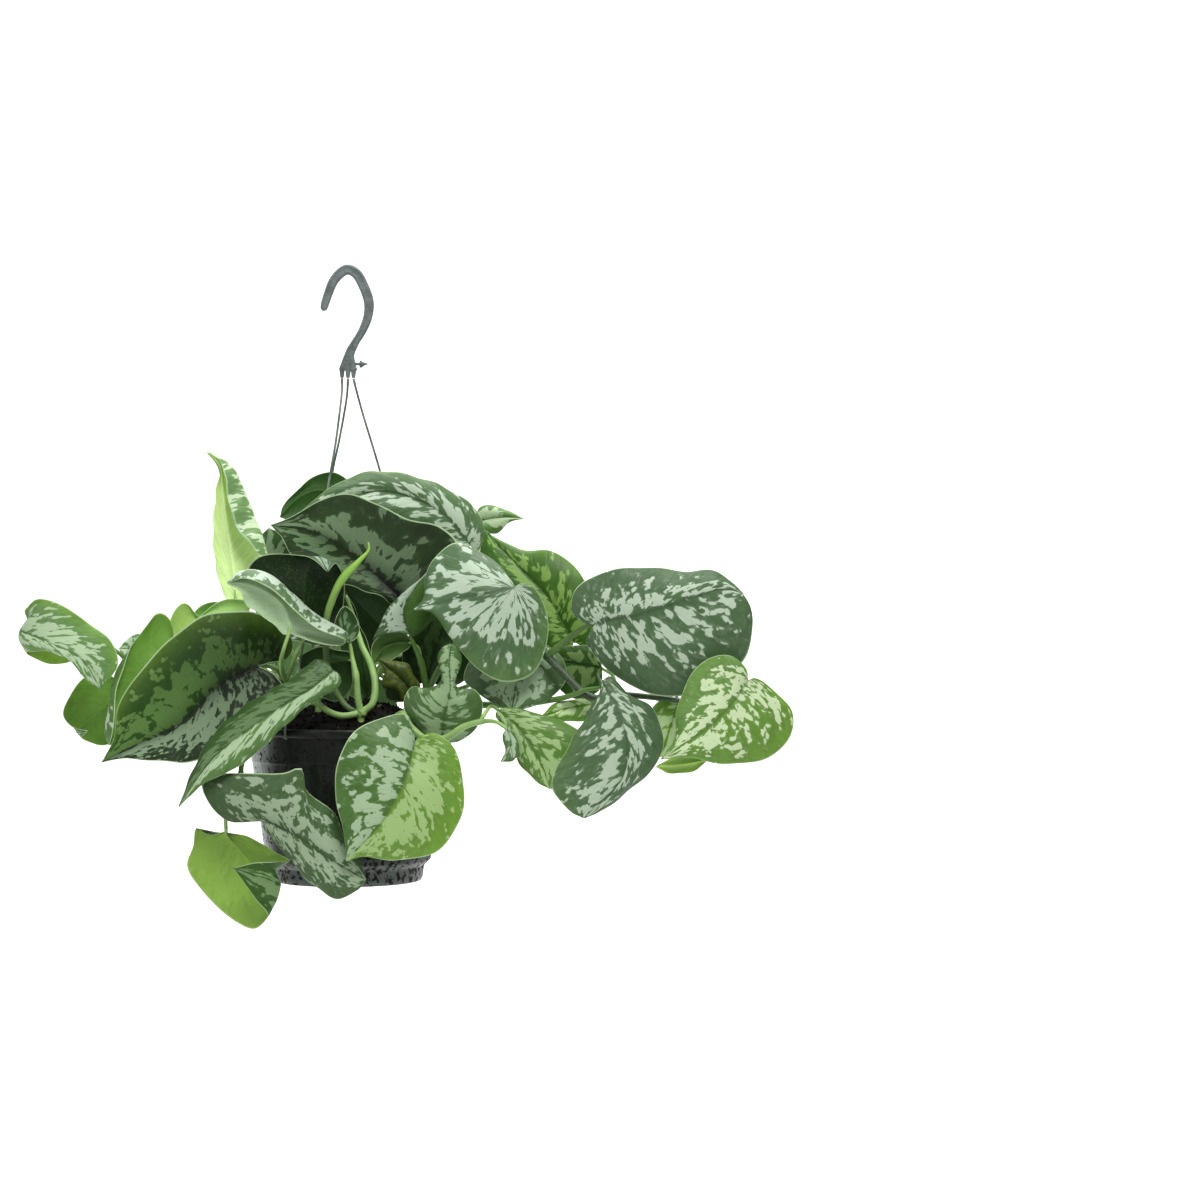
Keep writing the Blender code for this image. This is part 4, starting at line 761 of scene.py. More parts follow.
        rib=[(507, 728, 70), (511, 745, 72), (501, 762, 72)],
        left=[(514, 733, 70), (519, 748, 72), (513, 761, 72)],
        right=[(503, 735, 70), (505, 750, 72)],
        bow=1.0),
    "inner_dark": leaf(
        rib=[(402, 650, -20), (376, 622, -20), (338, 580, -20)],
        left=[(418, 668, -14), (417, 696, -12), (397, 702, -12), (386, 698, -13), (387, 682, -14), (382, 667, -16),
              (360, 655, -17), (344, 620, -18)],
        right=[(408, 628, -26), (398, 594, -26), (365, 582, -24)],
        under=True),
    "inner_right": leaf(
        rib=[(427, 682, 15), (436, 652, 13), (446, 612, 9)],
        left=[(409, 683, 14), (403, 650, 12), (420, 622, 10)],
        right=[(455, 686, 15), (473, 670, 14), (476, 640, 11)]),
    "back_left_up": leaf(
        rib=[(350, 640, -46), (330, 618, -82), (308, 638, -120), (300, 688, -140)],
        left=[(330, 648, -56), (285, 640, -82), (268, 658, -115), (284, 690, -135)],
        right=[(368, 640, -50), (380, 628, -80), (358, 648, -118), (322, 688, -135)]),
    "back_right_up": leaf(
        rib=[(400, 630, -40), (420, 600, -75), (440, 610, -115), (450, 660, -140)],
        left=[(385, 625, -50), (378, 605, -85), (400, 612, -125), (430, 660, -138)],
        right=[(425, 640, -40), (465, 620, -70), (482, 625, -105), (468, 660, -130)]),
    "back_hanging": leaf(
        rib=[(355, 670, -72), (350, 708, -94), (345, 770, -100), (342, 820, -92)],
        left=[(382, 680, -76), (397, 702, -86), (390, 775, -92), (365, 805, -92)],
        right=[(332, 682, -76), (304, 722, -92), (308, 775, -94), (328, 808, -92)],
        under=True),
    "left_silver": leaf(
        rib=[(160, 661, -6), (140, 650, -4), (119, 649, -2)],
        left=[(154, 675, -2), (136, 668, 0), (124, 658, 0)],
        right=[(154, 642, -8), (139, 634, -7), (125, 641, -4)],
        bow=1.0),
    "back_low_right": leaf(
        rib=[(400, 690, -50), (425, 704, -68), (438, 745, -81), (442, 788, -82)],
        left=[(418, 688, -48), (438, 700, -60), (451, 742, -72), (452, 772, -76)],
        right=[(405, 704, -72), (414, 738, -89), (428, 772, -90)],
        under=True),
    "back_top": leaf(
        rib=[(400, 560, -62), (410, 520, -80), (415, 505, -110), (418, 530, -135)],
        left=[(385, 550, -66), (372, 525, -85), (380, 515, -115)],
        right=[(425, 555, -62), (448, 530, -80), (445, 520, -115)]),
    "back_left": leaf(
        rib=[(285, 636, -36), (272, 600, -34), (262, 565, -28), (269, 528, -16)],
        left=[(268, 630, -36), (250, 600, -38), (244, 570, -32), (254, 547, -24), (263, 533, -18)],
        right=[(300, 625, -30), (305, 590, -26), (298, 555, -20), (284, 535, -14)]),
    "back_right": leaf(
        rib=[(470, 650, -35), (505, 630, -62), (540, 640, -84), (560, 672, -92)],
        left=[(485, 625, -45), (520, 605, -75), (552, 625, -92)],
        right=[(482, 672, -38), (515, 675, -62), (545, 680, -80)],
        under=True),
}

DARK, MID, LIME = (66, 93, 60), (82, 118, 58), (112, 154, 60)
SILVER, GOLD_SILVER, LIME_SILVER = (182, 198, 176), (184, 206, 164), (196, 218, 166)
EDGE_GREEN, EDGE_SILVER = (124, 168, 58), (176, 206, 122)


def look(green=DARK, silver=0.5, patch=SILVER, under=(98, 138, 78), right_green=None, right_patch=None, deep=0.15,
         streak=1.0, grain=1.0, edge=(0.0, 0.0), flow="side"):
    """A blade's colours: its upper green, the share and colour of its silver, and its underside.

    The right half can have its own green and silver, and the share can be two, at the base and at the tip. deep is
    how much painted shade darkens the blade towards its base and along its rib, grain how fine its silver is, streak
    how much that is drawn out, and edge how lime each margin is. The silver flows along the side veins ("side"), as
    a fan from the base, or in rings round a place near the tip.
    """
    return dict(green=(green, right_green or green), silver=silver, patch=(patch, right_patch or patch), under=under,
                deep=deep, streak=streak, grain=grain, edge=edge, flow=flow)


# Some colours below hold painted light and shade: they were set darker or brighter where a blade lies in shade or has
# light through it, as noted at each.
LOOKS = {
    "far_left": look((98, 136, 78), 0.52, (180, 204, 166), under=(112, 150, 52), grain=1.5, streak=0.8,
                     edge=(0.6, 0.3)),
    "low_left": look(MID, 0.4, under=(92, 134, 46)),
    "left_behind": look(MID, 0.6, under=(106, 150, 58)),
    "left_lobe": look(MID, 0.4, under=(150, 186, 92)),
    "left_edge": look(MID, 0.4, under=(110, 158, 70)),
    "left_pale": look(LIME, 0.4, LIME_SILVER, under=(150, 190, 105)),
    # left_big: its dark greens and its two halves of different green are painted shade.
    "left_big": look((34, 52, 26), (0.42, 0.6), (130, 154, 120), right_green=(32, 70, 8),
                     right_patch=(88, 124, 60), deep=0.75, grain=1.2, edge=(0.0, 0.35)),
    # left_long: its darker right half is painted shade.
    "left_long": look((88, 124, 64), 0.5, (170, 194, 156), right_green=(58, 86, 42), right_patch=(98, 126, 82),
                      streak=0.6, grain=1.1),
    "drape": look((70, 97, 56), 0.48, (158, 179, 147), grain=1.5, deep=0.3),
    "front": look((100, 140, 52), 0.54, (158, 188, 122), right_green=(72, 108, 48), right_patch=(164, 188, 152),
                  streak=1.4, grain=1.5, edge=(0.55, 0.0)),
    "lowest": look((50, 86, 28), 0.48, (114, 146, 94), under=(130, 168, 70)),
    # upright: its bright underside is painted light shining through the blade.
    "upright": look((108, 146, 86), 0.68, (202, 222, 184), under=(218, 244, 168), grain=1.5),
    "top_left": look(DARK, 0.4, under=(43, 78, 26)),
    "top": look((78, 107, 68), (0.6, 0.26), (184, 202, 178), streak=0.65, grain=0.8, edge=(0.0, 0.15)),
    # crown: its dark greens, and its darker left half, are painted shade.
    "crown": look((42, 64, 30), (0.4, 0.56), (108, 136, 96), right_green=(46, 72, 32),
                  right_patch=(126, 152, 114), deep=0.8, grain=0.8),
    # centre_under: its near-black underside is painted shade.
    "centre_under": look(DARK, 0.5, (150, 170, 146), under=(12, 36, 3)),
    "centre_grey": look((84, 112, 70), 0.7, (184, 202, 180), under=(164, 190, 150), grain=1.6),
    "small_cup": look((50, 80, 36), 0.45, (110, 140, 100), under=(84, 116, 56)),
    "inner_hanging": look(DARK, 0.4, under=(44, 74, 28)),
    "inner_left": look(DARK, 0.4, under=(50, 80, 36)),
    "centre_silver": look((64, 88, 52), (0.56, 0.74), (164, 182, 160), right_green=(54, 84, 28),
                          right_patch=(60, 92, 32), grain=2.2),
    "centre_lobe": look(MID, 0.4, under=(88, 120, 60)),
    "right_big": look((76, 104, 68), (0.52, 0.44), (178, 196, 173), streak=1.8, grain=1.5, edge=(0.2, 0.0),
                      flow="fan"),
    "right_back": look((58, 98, 26), 0.38, (126, 162, 80), edge=(0.0, 0.3)),
    "right_tip": look((92, 130, 66), 0.52, GOLD_SILVER),
    "far_right": look((76, 103, 68), (0.46, 0.37), (184, 201, 178), streak=1.1, grain=1.1),
    "lime_right": look((98, 138, 54), (0.52, 0.42), (204, 224, 178), right_green=(98, 136, 66), grain=1.3,
                       edge=(0.4, 0.2)),
    "lime_flap": look(LIME, 0.4, LIME_SILVER, under=(172, 208, 112)),
    "hanging_right": look((76, 103, 68), (0.28, 0.46), (178, 197, 172), streak=0.8, grain=1.1, edge=(0.0, 0.15)),
    "lime_left": look((84, 122, 48), 0.47, (156, 184, 126), streak=0.8, grain=1.2),
    "under_right": look((86, 112, 72), 0.52, (160, 182, 150)),
    "lime_behind": look((60, 96, 36), 0.46, (140, 168, 104)),
    "lime_low": look((104, 148, 52), 0.46, LIME_SILVER),
    "lime_between": look((118, 160, 62), 0.55, LIME_SILVER),
    "swirl": look((70, 100, 52), 0.54, (140, 166, 124), grain=1.8, streak=2.6, flow="ring"),
    "old": look((86, 98, 38), 0.5, (54, 72, 26), grain=2.0),
    "small_tip": look((80, 112, 66), 0.52, (168, 190, 156), grain=1.3),
    "left_silver": look((92, 130, 78), 0.6, (182, 204, 170), grain=1.3),
    "inner_dark": look(DARK, 0.4, under=(34, 58, 24)),
    "inner_right": look((40, 66, 28), 0.4, (70, 96, 52)),
    "back_left": look((72, 104, 58), 0.56, (158, 182, 148)),
}

BLADE_THICKNESS, THIN_FROM = 0.8, ((0, 0.9, 0.975, 1), (1, 1, 0.75, 0.3))
GROOVE_DEPTH, GROOVE_WIDTH = 0.32, 0.9
RIDGE_HEIGHT, RIDGE_WIDTH = 0.45, 0.8
SINUS, TIP_WIDTH = 1.3, 0.5  # how far from base and tip a margin starts and ends
VEIN_SWEEP, FOLD_AT = 1.8, 0.62
VEIN_EVERY, PILLOW = 8.5, 0.22
WAVE_EVERY, WAVE = 21, 0.75
ROW_EVERY, FEWEST_ROWS, MOST_ROWS = 1.7, 26, 74  # rows of points along a blade
ACROSS_HALF = np.array([0, 0.025, 0.07, 0.14, 0.22, 0.31, 0.4, 0.49, 0.58, 0.67, 0.76, 0.85, 0.93, 0.975, 1.0])
SIGNED = np.concatenate([-ACROSS_HALF[::-1], ACROSS_HALF[1:]])[None]
RING_PLACE, RING_ROUND, FAN_ROUND = 0.74, 24, 30
DEEP_WIDTH = 0.16  # how far from the rib the painted shade along it reaches
GOLDEN_SHARE = 0.618


def half_blade(foot, base, tip, margin, fold, a, t):
    """One half, from the rib at t 0 to its margin at t 1: straight lines, or parabolas drawn to a fold."""
    starts, ends = base + SINUS * unit(margin[0] - base), tip + TIP_WIDTH * unit(margin[-1] - tip)
    edge = smooth(np.vstack([starts, margin, ends]), a)[:, None]
    if fold is None:
        return foot * (1 - t) + edge * t
    crest = smooth(np.vstack([starts, fold, ends]), a)[:, None]
    pull = (crest - foot * (1 - FOLD_AT) ** 2 - edge * FOLD_AT**2) / (2 * FOLD_AT * (1 - FOLD_AT))
    return foot * (1 - t) ** 2 + 2 * pull * t * (1 - t) + edge * t**2


def face_normals(grid):
    """The way that a surface faces at each point: across its columns and its rows, by their cross product."""
    return unit(np.cross(np.gradient(grid, axis=1), np.gradient(grid, axis=0)))


def blade_grid(shape, a, t):
    """The blade's middle surface: rows from base to tip, each from the left margin over the rib to the right.

    Lines across a blade sweep towards its tip like its side veins, and bow swells each half between them.
    """
    t = t[None, :, None]
    columns = t.shape[1] - 1
    rib = real(shape["rib"])
    foot = smooth(rib, a**VEIN_SWEEP)[:, None]
    halves = []
    for margin, fold in shape["halves"]:
        halves.append(half_blade(foot, rib[0], rib[-1], real(margin), fold and real(fold), a, t))
    grid = np.concatenate([halves[0][:, ::-1], halves[1][:, 1:]], axis=1)
    normals = face_normals(grid)
    swell = shape["bow"] * 4 * t * (1 - t) * np.sin(np.pi * np.clip(a, 0.02, 0.98))[:, None, None] ** 0.6
    grid[:, :columns + 1] += swell[:, ::-1] * unit(normals[:, :columns + 1].sum(axis=(0, 1)))
    grid[:, columns:] += swell * unit(normals[:, columns:].sum(axis=(0, 1)))
    return grid


def quilted(grid, a, length, seed):
    """The middle surface with its margin waved and the skin between side veins raised a little: sums of sines."""
    b, start = np.abs(SIGNED), 2.1 * 6.28 * seed + 1.7 * (SIGNED > 0)
    wave = WAVE * b**2.5 * np.sin(2 * np.pi * a[:, None] * length / WAVE_EVERY + start)
    pillow = PILLOW * np.sin(np.pi * ((a[:, None] * length / VEIN_EVERY) % 1)) * np.sin(np.pi * b)
    fade = np.sin(np.pi * np.clip(a, 0.03, 0.97))[:, None] ** 0.5
    return grid + ((wave + pillow) * fade)[..., None] * face_normals(grid)


def bell(distance, width):
    """A bell curve, 1 at no distance."""
    return np.exp(-(distance / width) ** 2)


def blade_body(grid):
    """The closed blade: of even thickness but thin at its margin, grooved above its rib and ridged beneath it.

    The groove and the ridge are bell curves of the distance from the rib, and fade towards the tip.
    """
    rows, columns = grid.shape[:2]
    normals = face_normals(grid)
    half = BLADE_THICKNESS / 2 * np.interp(np.abs(SIGNED), *THIN_FROM)
    middle = grid[:, columns // 2][:, None]
    from_rib = np.linalg.norm(grid - middle, axis=-1)
    along = np.linspace(1, 0, rows)[:, None]
    groove = GROOVE_DEPTH * bell(from_rib, GROOVE_WIDTH) * along**0.5
    ridge = RIDGE_HEIGHT * bell(from_rib, RIDGE_WIDTH) * along**0.7
    upper = grid + (half - groove)[..., None] * normals
    lower = grid - (half + ridge)[..., None] * normals
    index = np.arange(rows * columns).reshape(rows, columns)
    quads = np.stack([index[:-1, :-1], index[:-1, 1:], index[1:, 1:], index[1:, :-1]], axis=-1).reshape(-1, 4)
    ring = np.concatenate([index[0, :-1], index[:-1, -1], index[-1, :0:-1], index[:0:-1, 0]])
    after = np.roll(ring, -1)
    under = rows * columns
    rim = np.stack([ring, ring + under, after + under, after], axis=1)
    faces = np.concatenate([quads, quads[:, ::-1] + under, rim])
    kinds = np.repeat([0, 1, 0], [len(quads), len(quads), len(rim)])
    return np.concatenate([upper.reshape(-1, 3), lower.reshape(-1, 3)]), faces, kinds


def length_of(line):
    """A line's length from point to point."""
    return np.linalg.norm(np.diff(line, axis=0), axis=1).sum()


def silver_flow(kind, grid, a):
    """Two measures over a blade in millimetres, across and along the way its silver is drawn out.

    On the side veins they are the ways along the rib and across it. Round a centre on the rib they are the
    distance and the angle, and a fan takes them the other way round.
    """
    middle = grid[:, grid.shape[1] // 2]
    if kind == "side":
        length = length_of(middle)
        width = np.linalg.norm(grid[:, 0] - grid[:, -1], axis=-1).max()
        return length * (a[:, None] - 0.08 * np.abs(SIGNED)), width / 2 * SIGNED
    ringed = kind == "ring"
    centre = round(RING_PLACE * len(middle)) if ringed else 0
    forward = unit(middle[centre - 3 if ringed else 3] - middle[centre])
    sideways = unit(np.cross(face_normals(grid).mean(axis=(0, 1)), forward))
    x, y = (grid - middle[centre]) @ forward, (grid - middle[centre]) @ sideways
    reach, turn = np.hypot(x, y), np.arctan2(y, x)
    return (reach, turn * RING_ROUND) if ringed else (turn * FAN_ROUND, reach)


def leaf_skin(start):
    """What both faces of a blade are drawn from: the way across it, its silver's flow and seed, and its flecks."""
    signed = start.node("ShaderNodeUVMap", uv_map="skin").parts()[0] * 2.0 - 1.0
    run, cross, seed = kept(start, "flow", 1).parts()
    fleck = (run * 34.0).joined_with(cross * 17.0, seed * 31.0).noise(1.0, detail=2.5, distortion=0.5)
    return signed.math("ABSOLUTE"), run, cross, seed, fleck


def side_veins(run, wander):
    """1 on the side veins and 0 between them."""
    phase = (run * (100 / VEIN_EVERY) + wander).math("FRACT")
    return (phase - 0.5).math("ABSOLUTE").step(0.4, 0.5)


leaf_upper, start, wire = coat("leaf_upper", roughness=0.42, IOR=1.45, Specular_IOR_Level=0.26)
b, run, cross, seed, fleck = leaf_skin(start)
mass = (run * 12.0).joined_with(cross * 7.5, seed * 40.0).noise(1.0, detail=1.0, distortion=0.4)
fine = (run * 120.0).joined_with(cross * 60.0, seed * 17.0).noise(1.0, detail=2)
drops = (run * 21.0 + fleck * 1.5).joined_with(cross * 14.0, seed * 23.0).cells(1.0, 0.1)
vein = side_veins(run, mass * 0.5)
ribbed = 1.0 - b.step(0.02, 0.12)
edged = b.step(0.3, 0.98)
silver = kept(start, "flow", 3)
splash = mass * 0.5 + fleck * 0.3 - drops * 0.22 + (silver - 0.5) * 0.36 - ribbed * 0.1 - edged * 0.16 + 0.25
patches = splash.step(0.484, 0.502)
haze = splash.step(0.4, 0.52) * 0.14
green = kept(start, "green")
patch = kept(start, "patch")
deep = green.scaled(0.55)
skin = green.mix(deep, mass.step(0.4, 0.62) * 0.35).mix(patch, fleck.step(0.5, 0.8) * 0.12).mix(deep, vein * 0.12)
skin = skin.mix(patch, haze).mix(patch, patches * (0.7 + fine * 0.4))
# Painted shade: a narrow dark band along the midrib's crease.
skin = skin.mix(deep, (1.0 - b.step(0.0, 0.035)) * 0.55)
wire(Base_Color=skin.mix(linear(186, 212, 164), b.step(0.975, 0.99) * 0.7),
     Roughness=0.36 + patches * 0.1 + fleck * 0.14,
     Normal=bumped(start, mass * 0.5 + fleck * 0.3 + fine * 0.08 - vein * 0.3 + patches * 0.1, 0.35, 0.0012))

leaf_under, start, wire = coat("leaf_under", roughness=0.5, IOR=1.45, Specular_IOR_Level=0.24)
b, run, cross, seed, fleck = leaf_skin(start)
mass = (run * 10.0).joined_with(cross * 6.0, seed * 40.0).noise(1.0, detail=2.5, distortion=0.4)
fine = (run * 90.0).joined_with(cross * 50.0, seed * 17.0).noise(1.0, detail=3)
vein = side_veins(run, mass * 0.5)
under = kept(start, "under")
plain = under.mix(under.scaled(0.72), mass.step(0.38, 0.66) * 0.6).mix(under.scaled(1.3), vein * 0.07)
plain = plain.mix(under.scaled(1.22), (mass * 0.5 + fleck * 0.5).step(0.5, 0.58) * 0.4)
plain = plain.mix(linear(176, 204, 130), fine.step(0.5, 0.8) * 0.07)
plain = plain.mix(under.scaled(1.5), (1.0 - b.step(0.008, 0.03)) * 0.25)
wire(Base_Color=plain.mix(linear(190, 216, 156), b.step(0.97, 0.99) * 0.5),
     Roughness=0.42 + fine * 0.2,
     Normal=bumped(start, mass * 0.4 + fine * 0.15 + vein * 0.12, 0.3, 0.0012))


def both_faces(values):
    """Values of a blade's middle surface, as one row for each point of its upper and then of its lower face."""
    return np.tile(values.reshape(-1, values.shape[-1]), (2, 1))


def mapped(blade, a):
    """Lays the skin map over a blade: the way across it, from margin to margin, and the way to its tip."""
    ways = np.stack(np.broadcast_arrays(0.5 + 0.5 * SIGNED, a[:, None]), axis=-1)
    corners = np.empty(len(blade.data.loops), np.int32)
    blade.data.loops.foreach_get("vertex_index", corners)
    skin_map = both_faces(ways)[corners].astype(np.float32)
    blade.data.uv_layers.new(name="skin").data.foreach_set("uv", skin_map.ravel())


def tinted(blade, greens, grid, a, seed):
    """Paints a blade's flow, greens and silver: painted shade darker towards its base and rib, limer at its margins.
    """
    run, cross = silver_flow(greens["flow"], grid, a)
    share = np.interp(a, (0, 1), np.broadcast_to(greens["silver"], 2))[:, None]
    grain = greens["grain"] / 100
    flow = np.broadcast_arrays(run * grain, cross * grain / greens["streak"], seed, share)
    painted(blade, "flow", both_faces(np.stack(flow, axis=-1)))
    # Painted shade: the greens darken towards the base and along the rib, by the blade's deep share.
    inward = (1 - a[:, None]) ** 1.5 + 0.5 * bell(SIGNED, DEEP_WIDTH)
    base_shade = (1 - greens["deep"] * np.clip(inward, 0, 1.2))[..., None] * (1, 1, 1, 0) + (0, 0, 0, 1)
    right = (SIGNED > 0)[..., None]
    edging = np.clip((np.abs(SIGNED) - 0.6) / 0.4, 0, 1)[..., None] ** 1.5 * np.where(right, *greens["edge"][::-1])
    for kind, lime in (("green", EDGE_GREEN), ("patch", EDGE_SILVER)):
        left_tint, right_tint = (linear(*tint) for tint in greens[kind])
        tint = base_shade * np.where(right, right_tint, left_tint)
        painted(blade, kind, both_faces(tint + (np.array(linear(*lime)) - tint) * edging))
    painted(blade, "under", np.tile(linear(*greens["under"]), (2 * grid[..., 0].size, 1)))


for number, (name, shape) in enumerate(LEAVES.items()):
    length = length_of(real(shape["rib"]))
    rows = int(np.clip(round(length / ROW_EVERY), FEWEST_ROWS, MOST_ROWS))
    a = np.linspace(0, 1, rows + 1)
    seed = number * GOLDEN_SHARE % 1
    grid = blade_grid(shape, a, ACROSS_HALF)
    grid = quilted(grid, a, length, seed)
    points, faces, kinds = blade_body(grid)
    blade = piece("blade_" + name, (points, faces.tolist()), [leaf_upper, leaf_under],
                  ["leaf_" + name])
    blade.data.polygons.foreach_set("material_index", kinds.astype(np.int32))
    mapped(blade, a)
    tinted(blade, LOOKS.get(name, look()), grid, a, seed)


# Vines
# Each vine is a round green stem out of the mix with a pale petiole to every blade. The stems thicken at their
# nodes and the petioles just under the blade, and the newest leaf is still rolled up at its stem's end.

PETIOLE_END, PETIOLE_TIP, PETIOLE_REACH, PETIOLE_PAST = 1.0, 0.45, 0.03, 0.09
PETIOLE_SUNK, TIP_UNDER = 0.15, 0.9
SWELL, SWELL_WIDTH, SWELL_FROM_END, NODE_SWELL, NODE_WIDTH = 0.16, 2.4, 5, 0.22, 2.2
ROOT_DEPTH, ROOT_STRAIGHT, ROOT_LEVEL = 13.0, 5.0, 700
ROLL_PLACES, ROLL_RADII, ROLL_TURNS, ROLL_LAP = (0.45, 0.8, 1), (3.1, 0.5), 2.5, 0.18
STEM_SIDES, STEM_STEP, FEWEST_RINGS = 14, 2.2, 10

# Each vine: where it stands in the mix (across, nearer), and its runs: radius, points, the leaf at the end.
# The first run comes out of the mix there, and the others start inside an earlier one.
VINES = {
    "front": ((361, 50), [
        (2.7, [(358, 700, 52), (356, 675, 50), (352, 656, 43)], "small_cup"),
        (2.6, [(361, 713, 50), (372, 704, 50), (375, 686, 46), (371, 665, 37), (362, 646, 26), (352, 612, 12)],
         "inner_hanging"),
        (2.5, [(361, 713, 50), (342, 716, 55), (326, 710, 60), (316, 699, 65), (318, 687, 66), (327, 678, 65)],
         "left_long"),
        (1.4, [(356, 675, 50), (355, 668, 38), (354, 664, 32)], "inner_left"),
        (2.3, [(361, 713, 50), (348, 708, 42), (335, 690, 40), (327, 665, 42), (326, 645, 45), (326, 622, 49),
               (333, 598, 49), (343, 578, 48), (358, 562, 46), (369, 549, 43), (368, 542, 42)], None),
    ]),
    "left": ((300, 8), [
        (2.3, [(290, 694, 18), (283, 678, 30)], None),
        (2.0, [(285, 682, 27), (281, 664, 48), (284, 648, 64)], "centre_grey"),
        (2.1, [(285, 682, 27), (276, 669, 40), (267, 666, 43)], "left_big"),
        (1.9, [(285, 682, 27), (291, 669, 39), (297, 652, 53)], "centre_under"),
        (1.9, [(285, 682, 27), (262, 692, 22), (230, 703, 12), (190, 703, 4), (150, 690, 4), (130, 668, 12),
               (121, 655, 22), (98, 640, 20)], "far_left"),
        (1.4, [(150, 690, 4), (139, 690, 14)], "low_left"),
        (1.3, [(190, 703, 4), (178, 690, -4), (168, 672, -8)], "left_silver"),
        (1.5, [(262, 692, 22), (225, 686, 24), (194, 668, 30)], "left_behind"),
        (1.7, [(285, 682, 27), (262, 668, 14), (244, 656, 5)], "left_lobe"),
        (1.4, [(262, 668, 14), (256, 655, 0), (250, 640, -10)], "left_edge"),
        (1.5, [(285, 682, 27), (270, 652, 28), (258, 630, 31)], "left_pale"),
        (1.6, [(262, 668, 14), (253, 642, 9), (243, 620, 5)], "upright"),
    ]),
    "crown": ((365, -5), [
        (2.4, [(370, 686, -5), (392, 653, -3), (404, 622, 7)], "crown"),
        (2.3, [(392, 653, -3), (420, 640, -16), (450, 600, -20), (464, 567, -18)], "top"),
        (1.4, [(450, 600, -20), (472, 572, -42), (481, 542, -68)], "right_tip"),
        (1.4, [(392, 653, -3), (400, 656, -12)], "inner_dark"),
        (1.9, [(370, 686, -5), (370, 668, -26), (372, 640, -35), (366, 590, -32), (364, 550, -12),
               (355, 513, 4)], "top_left"),
        (1.6, [(366, 590, -32), (390, 582, -56)], "back_top"),
    ]),
    "right": ((415, 15), [
        (2.5, [(422, 700, 22), (429, 688, 27)], None),
        (2.5, [(427, 692, 25), (421, 662, 29), (415, 647, 29)], "centre_silver"),
        (1.3, [(421, 662, 29), (418, 648, 25)], "centre_lobe"),
        (1.4, [(422, 700, 22), (428, 690, 13)], "inner_right"),
        (1.4, [(422, 700, 22), (418, 699, 28)], "old"),
        (2.1, [(418, 706, 18), (424, 708, 34), (433, 719, 52), (439, 732, 60)], "swirl"),
        (2.5, [(427, 692, 25), (441, 666, 25), (462, 636, 31), (476, 627, 36), (492, 612, 44), (506, 600, 50)],
         "right_big"),
        (2.9, [(476, 627, 36), (498, 629, 41), (522, 632, 43), (540, 646, 46), (547, 656, 48), (565, 675, 52),
               (590, 697, 58), (622, 695, 63), (660, 698, 68), (700, 702, 75), (730, 694, 82)],
         "lime_right"),
        (2.7, [(547, 656, 48), (562, 644, 54), (578, 631, 63), (589, 625, 68)], "far_right"),
        (1.7, [(427, 692, 25), (444, 692, 14), (462, 688, 8), (480, 680, 0), (500, 668, -2), (545, 658, 3),
               (569, 653, 11)], "right_back"),
        (1.4, [(500, 668, -2), (512, 658, 18)], "under_right"),
        (2.8, [(422, 700, 22), (450, 703, 34), (490, 705, 36), (520, 704, 37), (546, 701, 39), (570, 696, 52),
               (586, 690, 62), (598, 688, 74)], "hanging_right"),
        (1.4, [(590, 697, 58), (604, 700, 50), (605, 706, 43)], "lime_low"),
        (1.4, [(622, 695, 63), (616, 690, 46), (613, 676, 34)], "lime_behind"),
        (1.4, [(660, 698, 68), (671, 688, 58)], "lime_between"),
        (1.4, [(700, 702, 75), (712, 725, 80), (716, 748, 80)], "lime_flap"),
    ]),
    "trailing": ((395, 47), [
        (2.5, [(402, 714, 64), (408, 726, 77)], "front"),
        (2.9, [(402, 714, 64), (412, 729, 75), (428, 740, 77), (446, 738, 78), (463, 727, 78), (480, 722, 77),
               (496, 722, 67)], "small_tip"),
        (1.5, [(480, 722, 77), (486, 712, 63), (492, 706, 50)], "lime_left"),
    ]),
    "low": ((318, 33), [
        (2.4, [(300, 702, 31), (282, 703, 37), (268, 711, 47), (261, 728, 58), (253, 742, 68), (243, 760, 76),
               (241, 774, 79), (247, 797, 82), (258, 814, 86)], "drape"),
        (2.1, [(241, 774, 79), (234, 790, 74), (226, 812, 68)], "lowest"),
    ]),
    "back": ((350, -42), [
        (2.4, [(351, 690, -46), (351, 660, -48)], "back_left_up"),
        (1.9, [(351, 690, -46), (375, 672, -46), (393, 648, -43)], "back_right_up"),
        (1.9, [(351, 690, -46), (354, 682, -58)], "back_hanging"),
        (1.8, [(351, 690, -46), (320, 678, -38), (302, 664, -38), (291, 650, -42)], "back_left"),
        (1.8, [(375, 672, -46), (430, 668, -34), (458, 659, -26)], "back_right"),
        (1.6, [(375, 672, -46), (393, 683, -40)], "back_low_right"),
    ]),
}


def petiole_end(shape):
    """Where a petiole ends, against the blade's underside, and a place further along under the rib."""
    a, half = np.linspace(0, 1, 13), np.linspace(0, 1, 4)
    foot, past = smooth(real(shape["rib"]), [PETIOLE_REACH, PETIOLE_PAST])
    under = unit(face_normals(blade_grid(shape, a, half))[:3, len(half) - 1].sum(axis=0))
    return foot - under * (BLADE_THICKNESS / 2 + PETIOLE_END - PETIOLE_SUNK), past - under * TIP_UNDER


def root_of(stand):
    """The place on the mound where a vine stands, from (across, nearer)."""
    across, nearer = stand
    x, y = real([(across, ROOT_LEVEL, nearer)])[0][:2]
    return np.array([x, y, soil_height(x, y)])


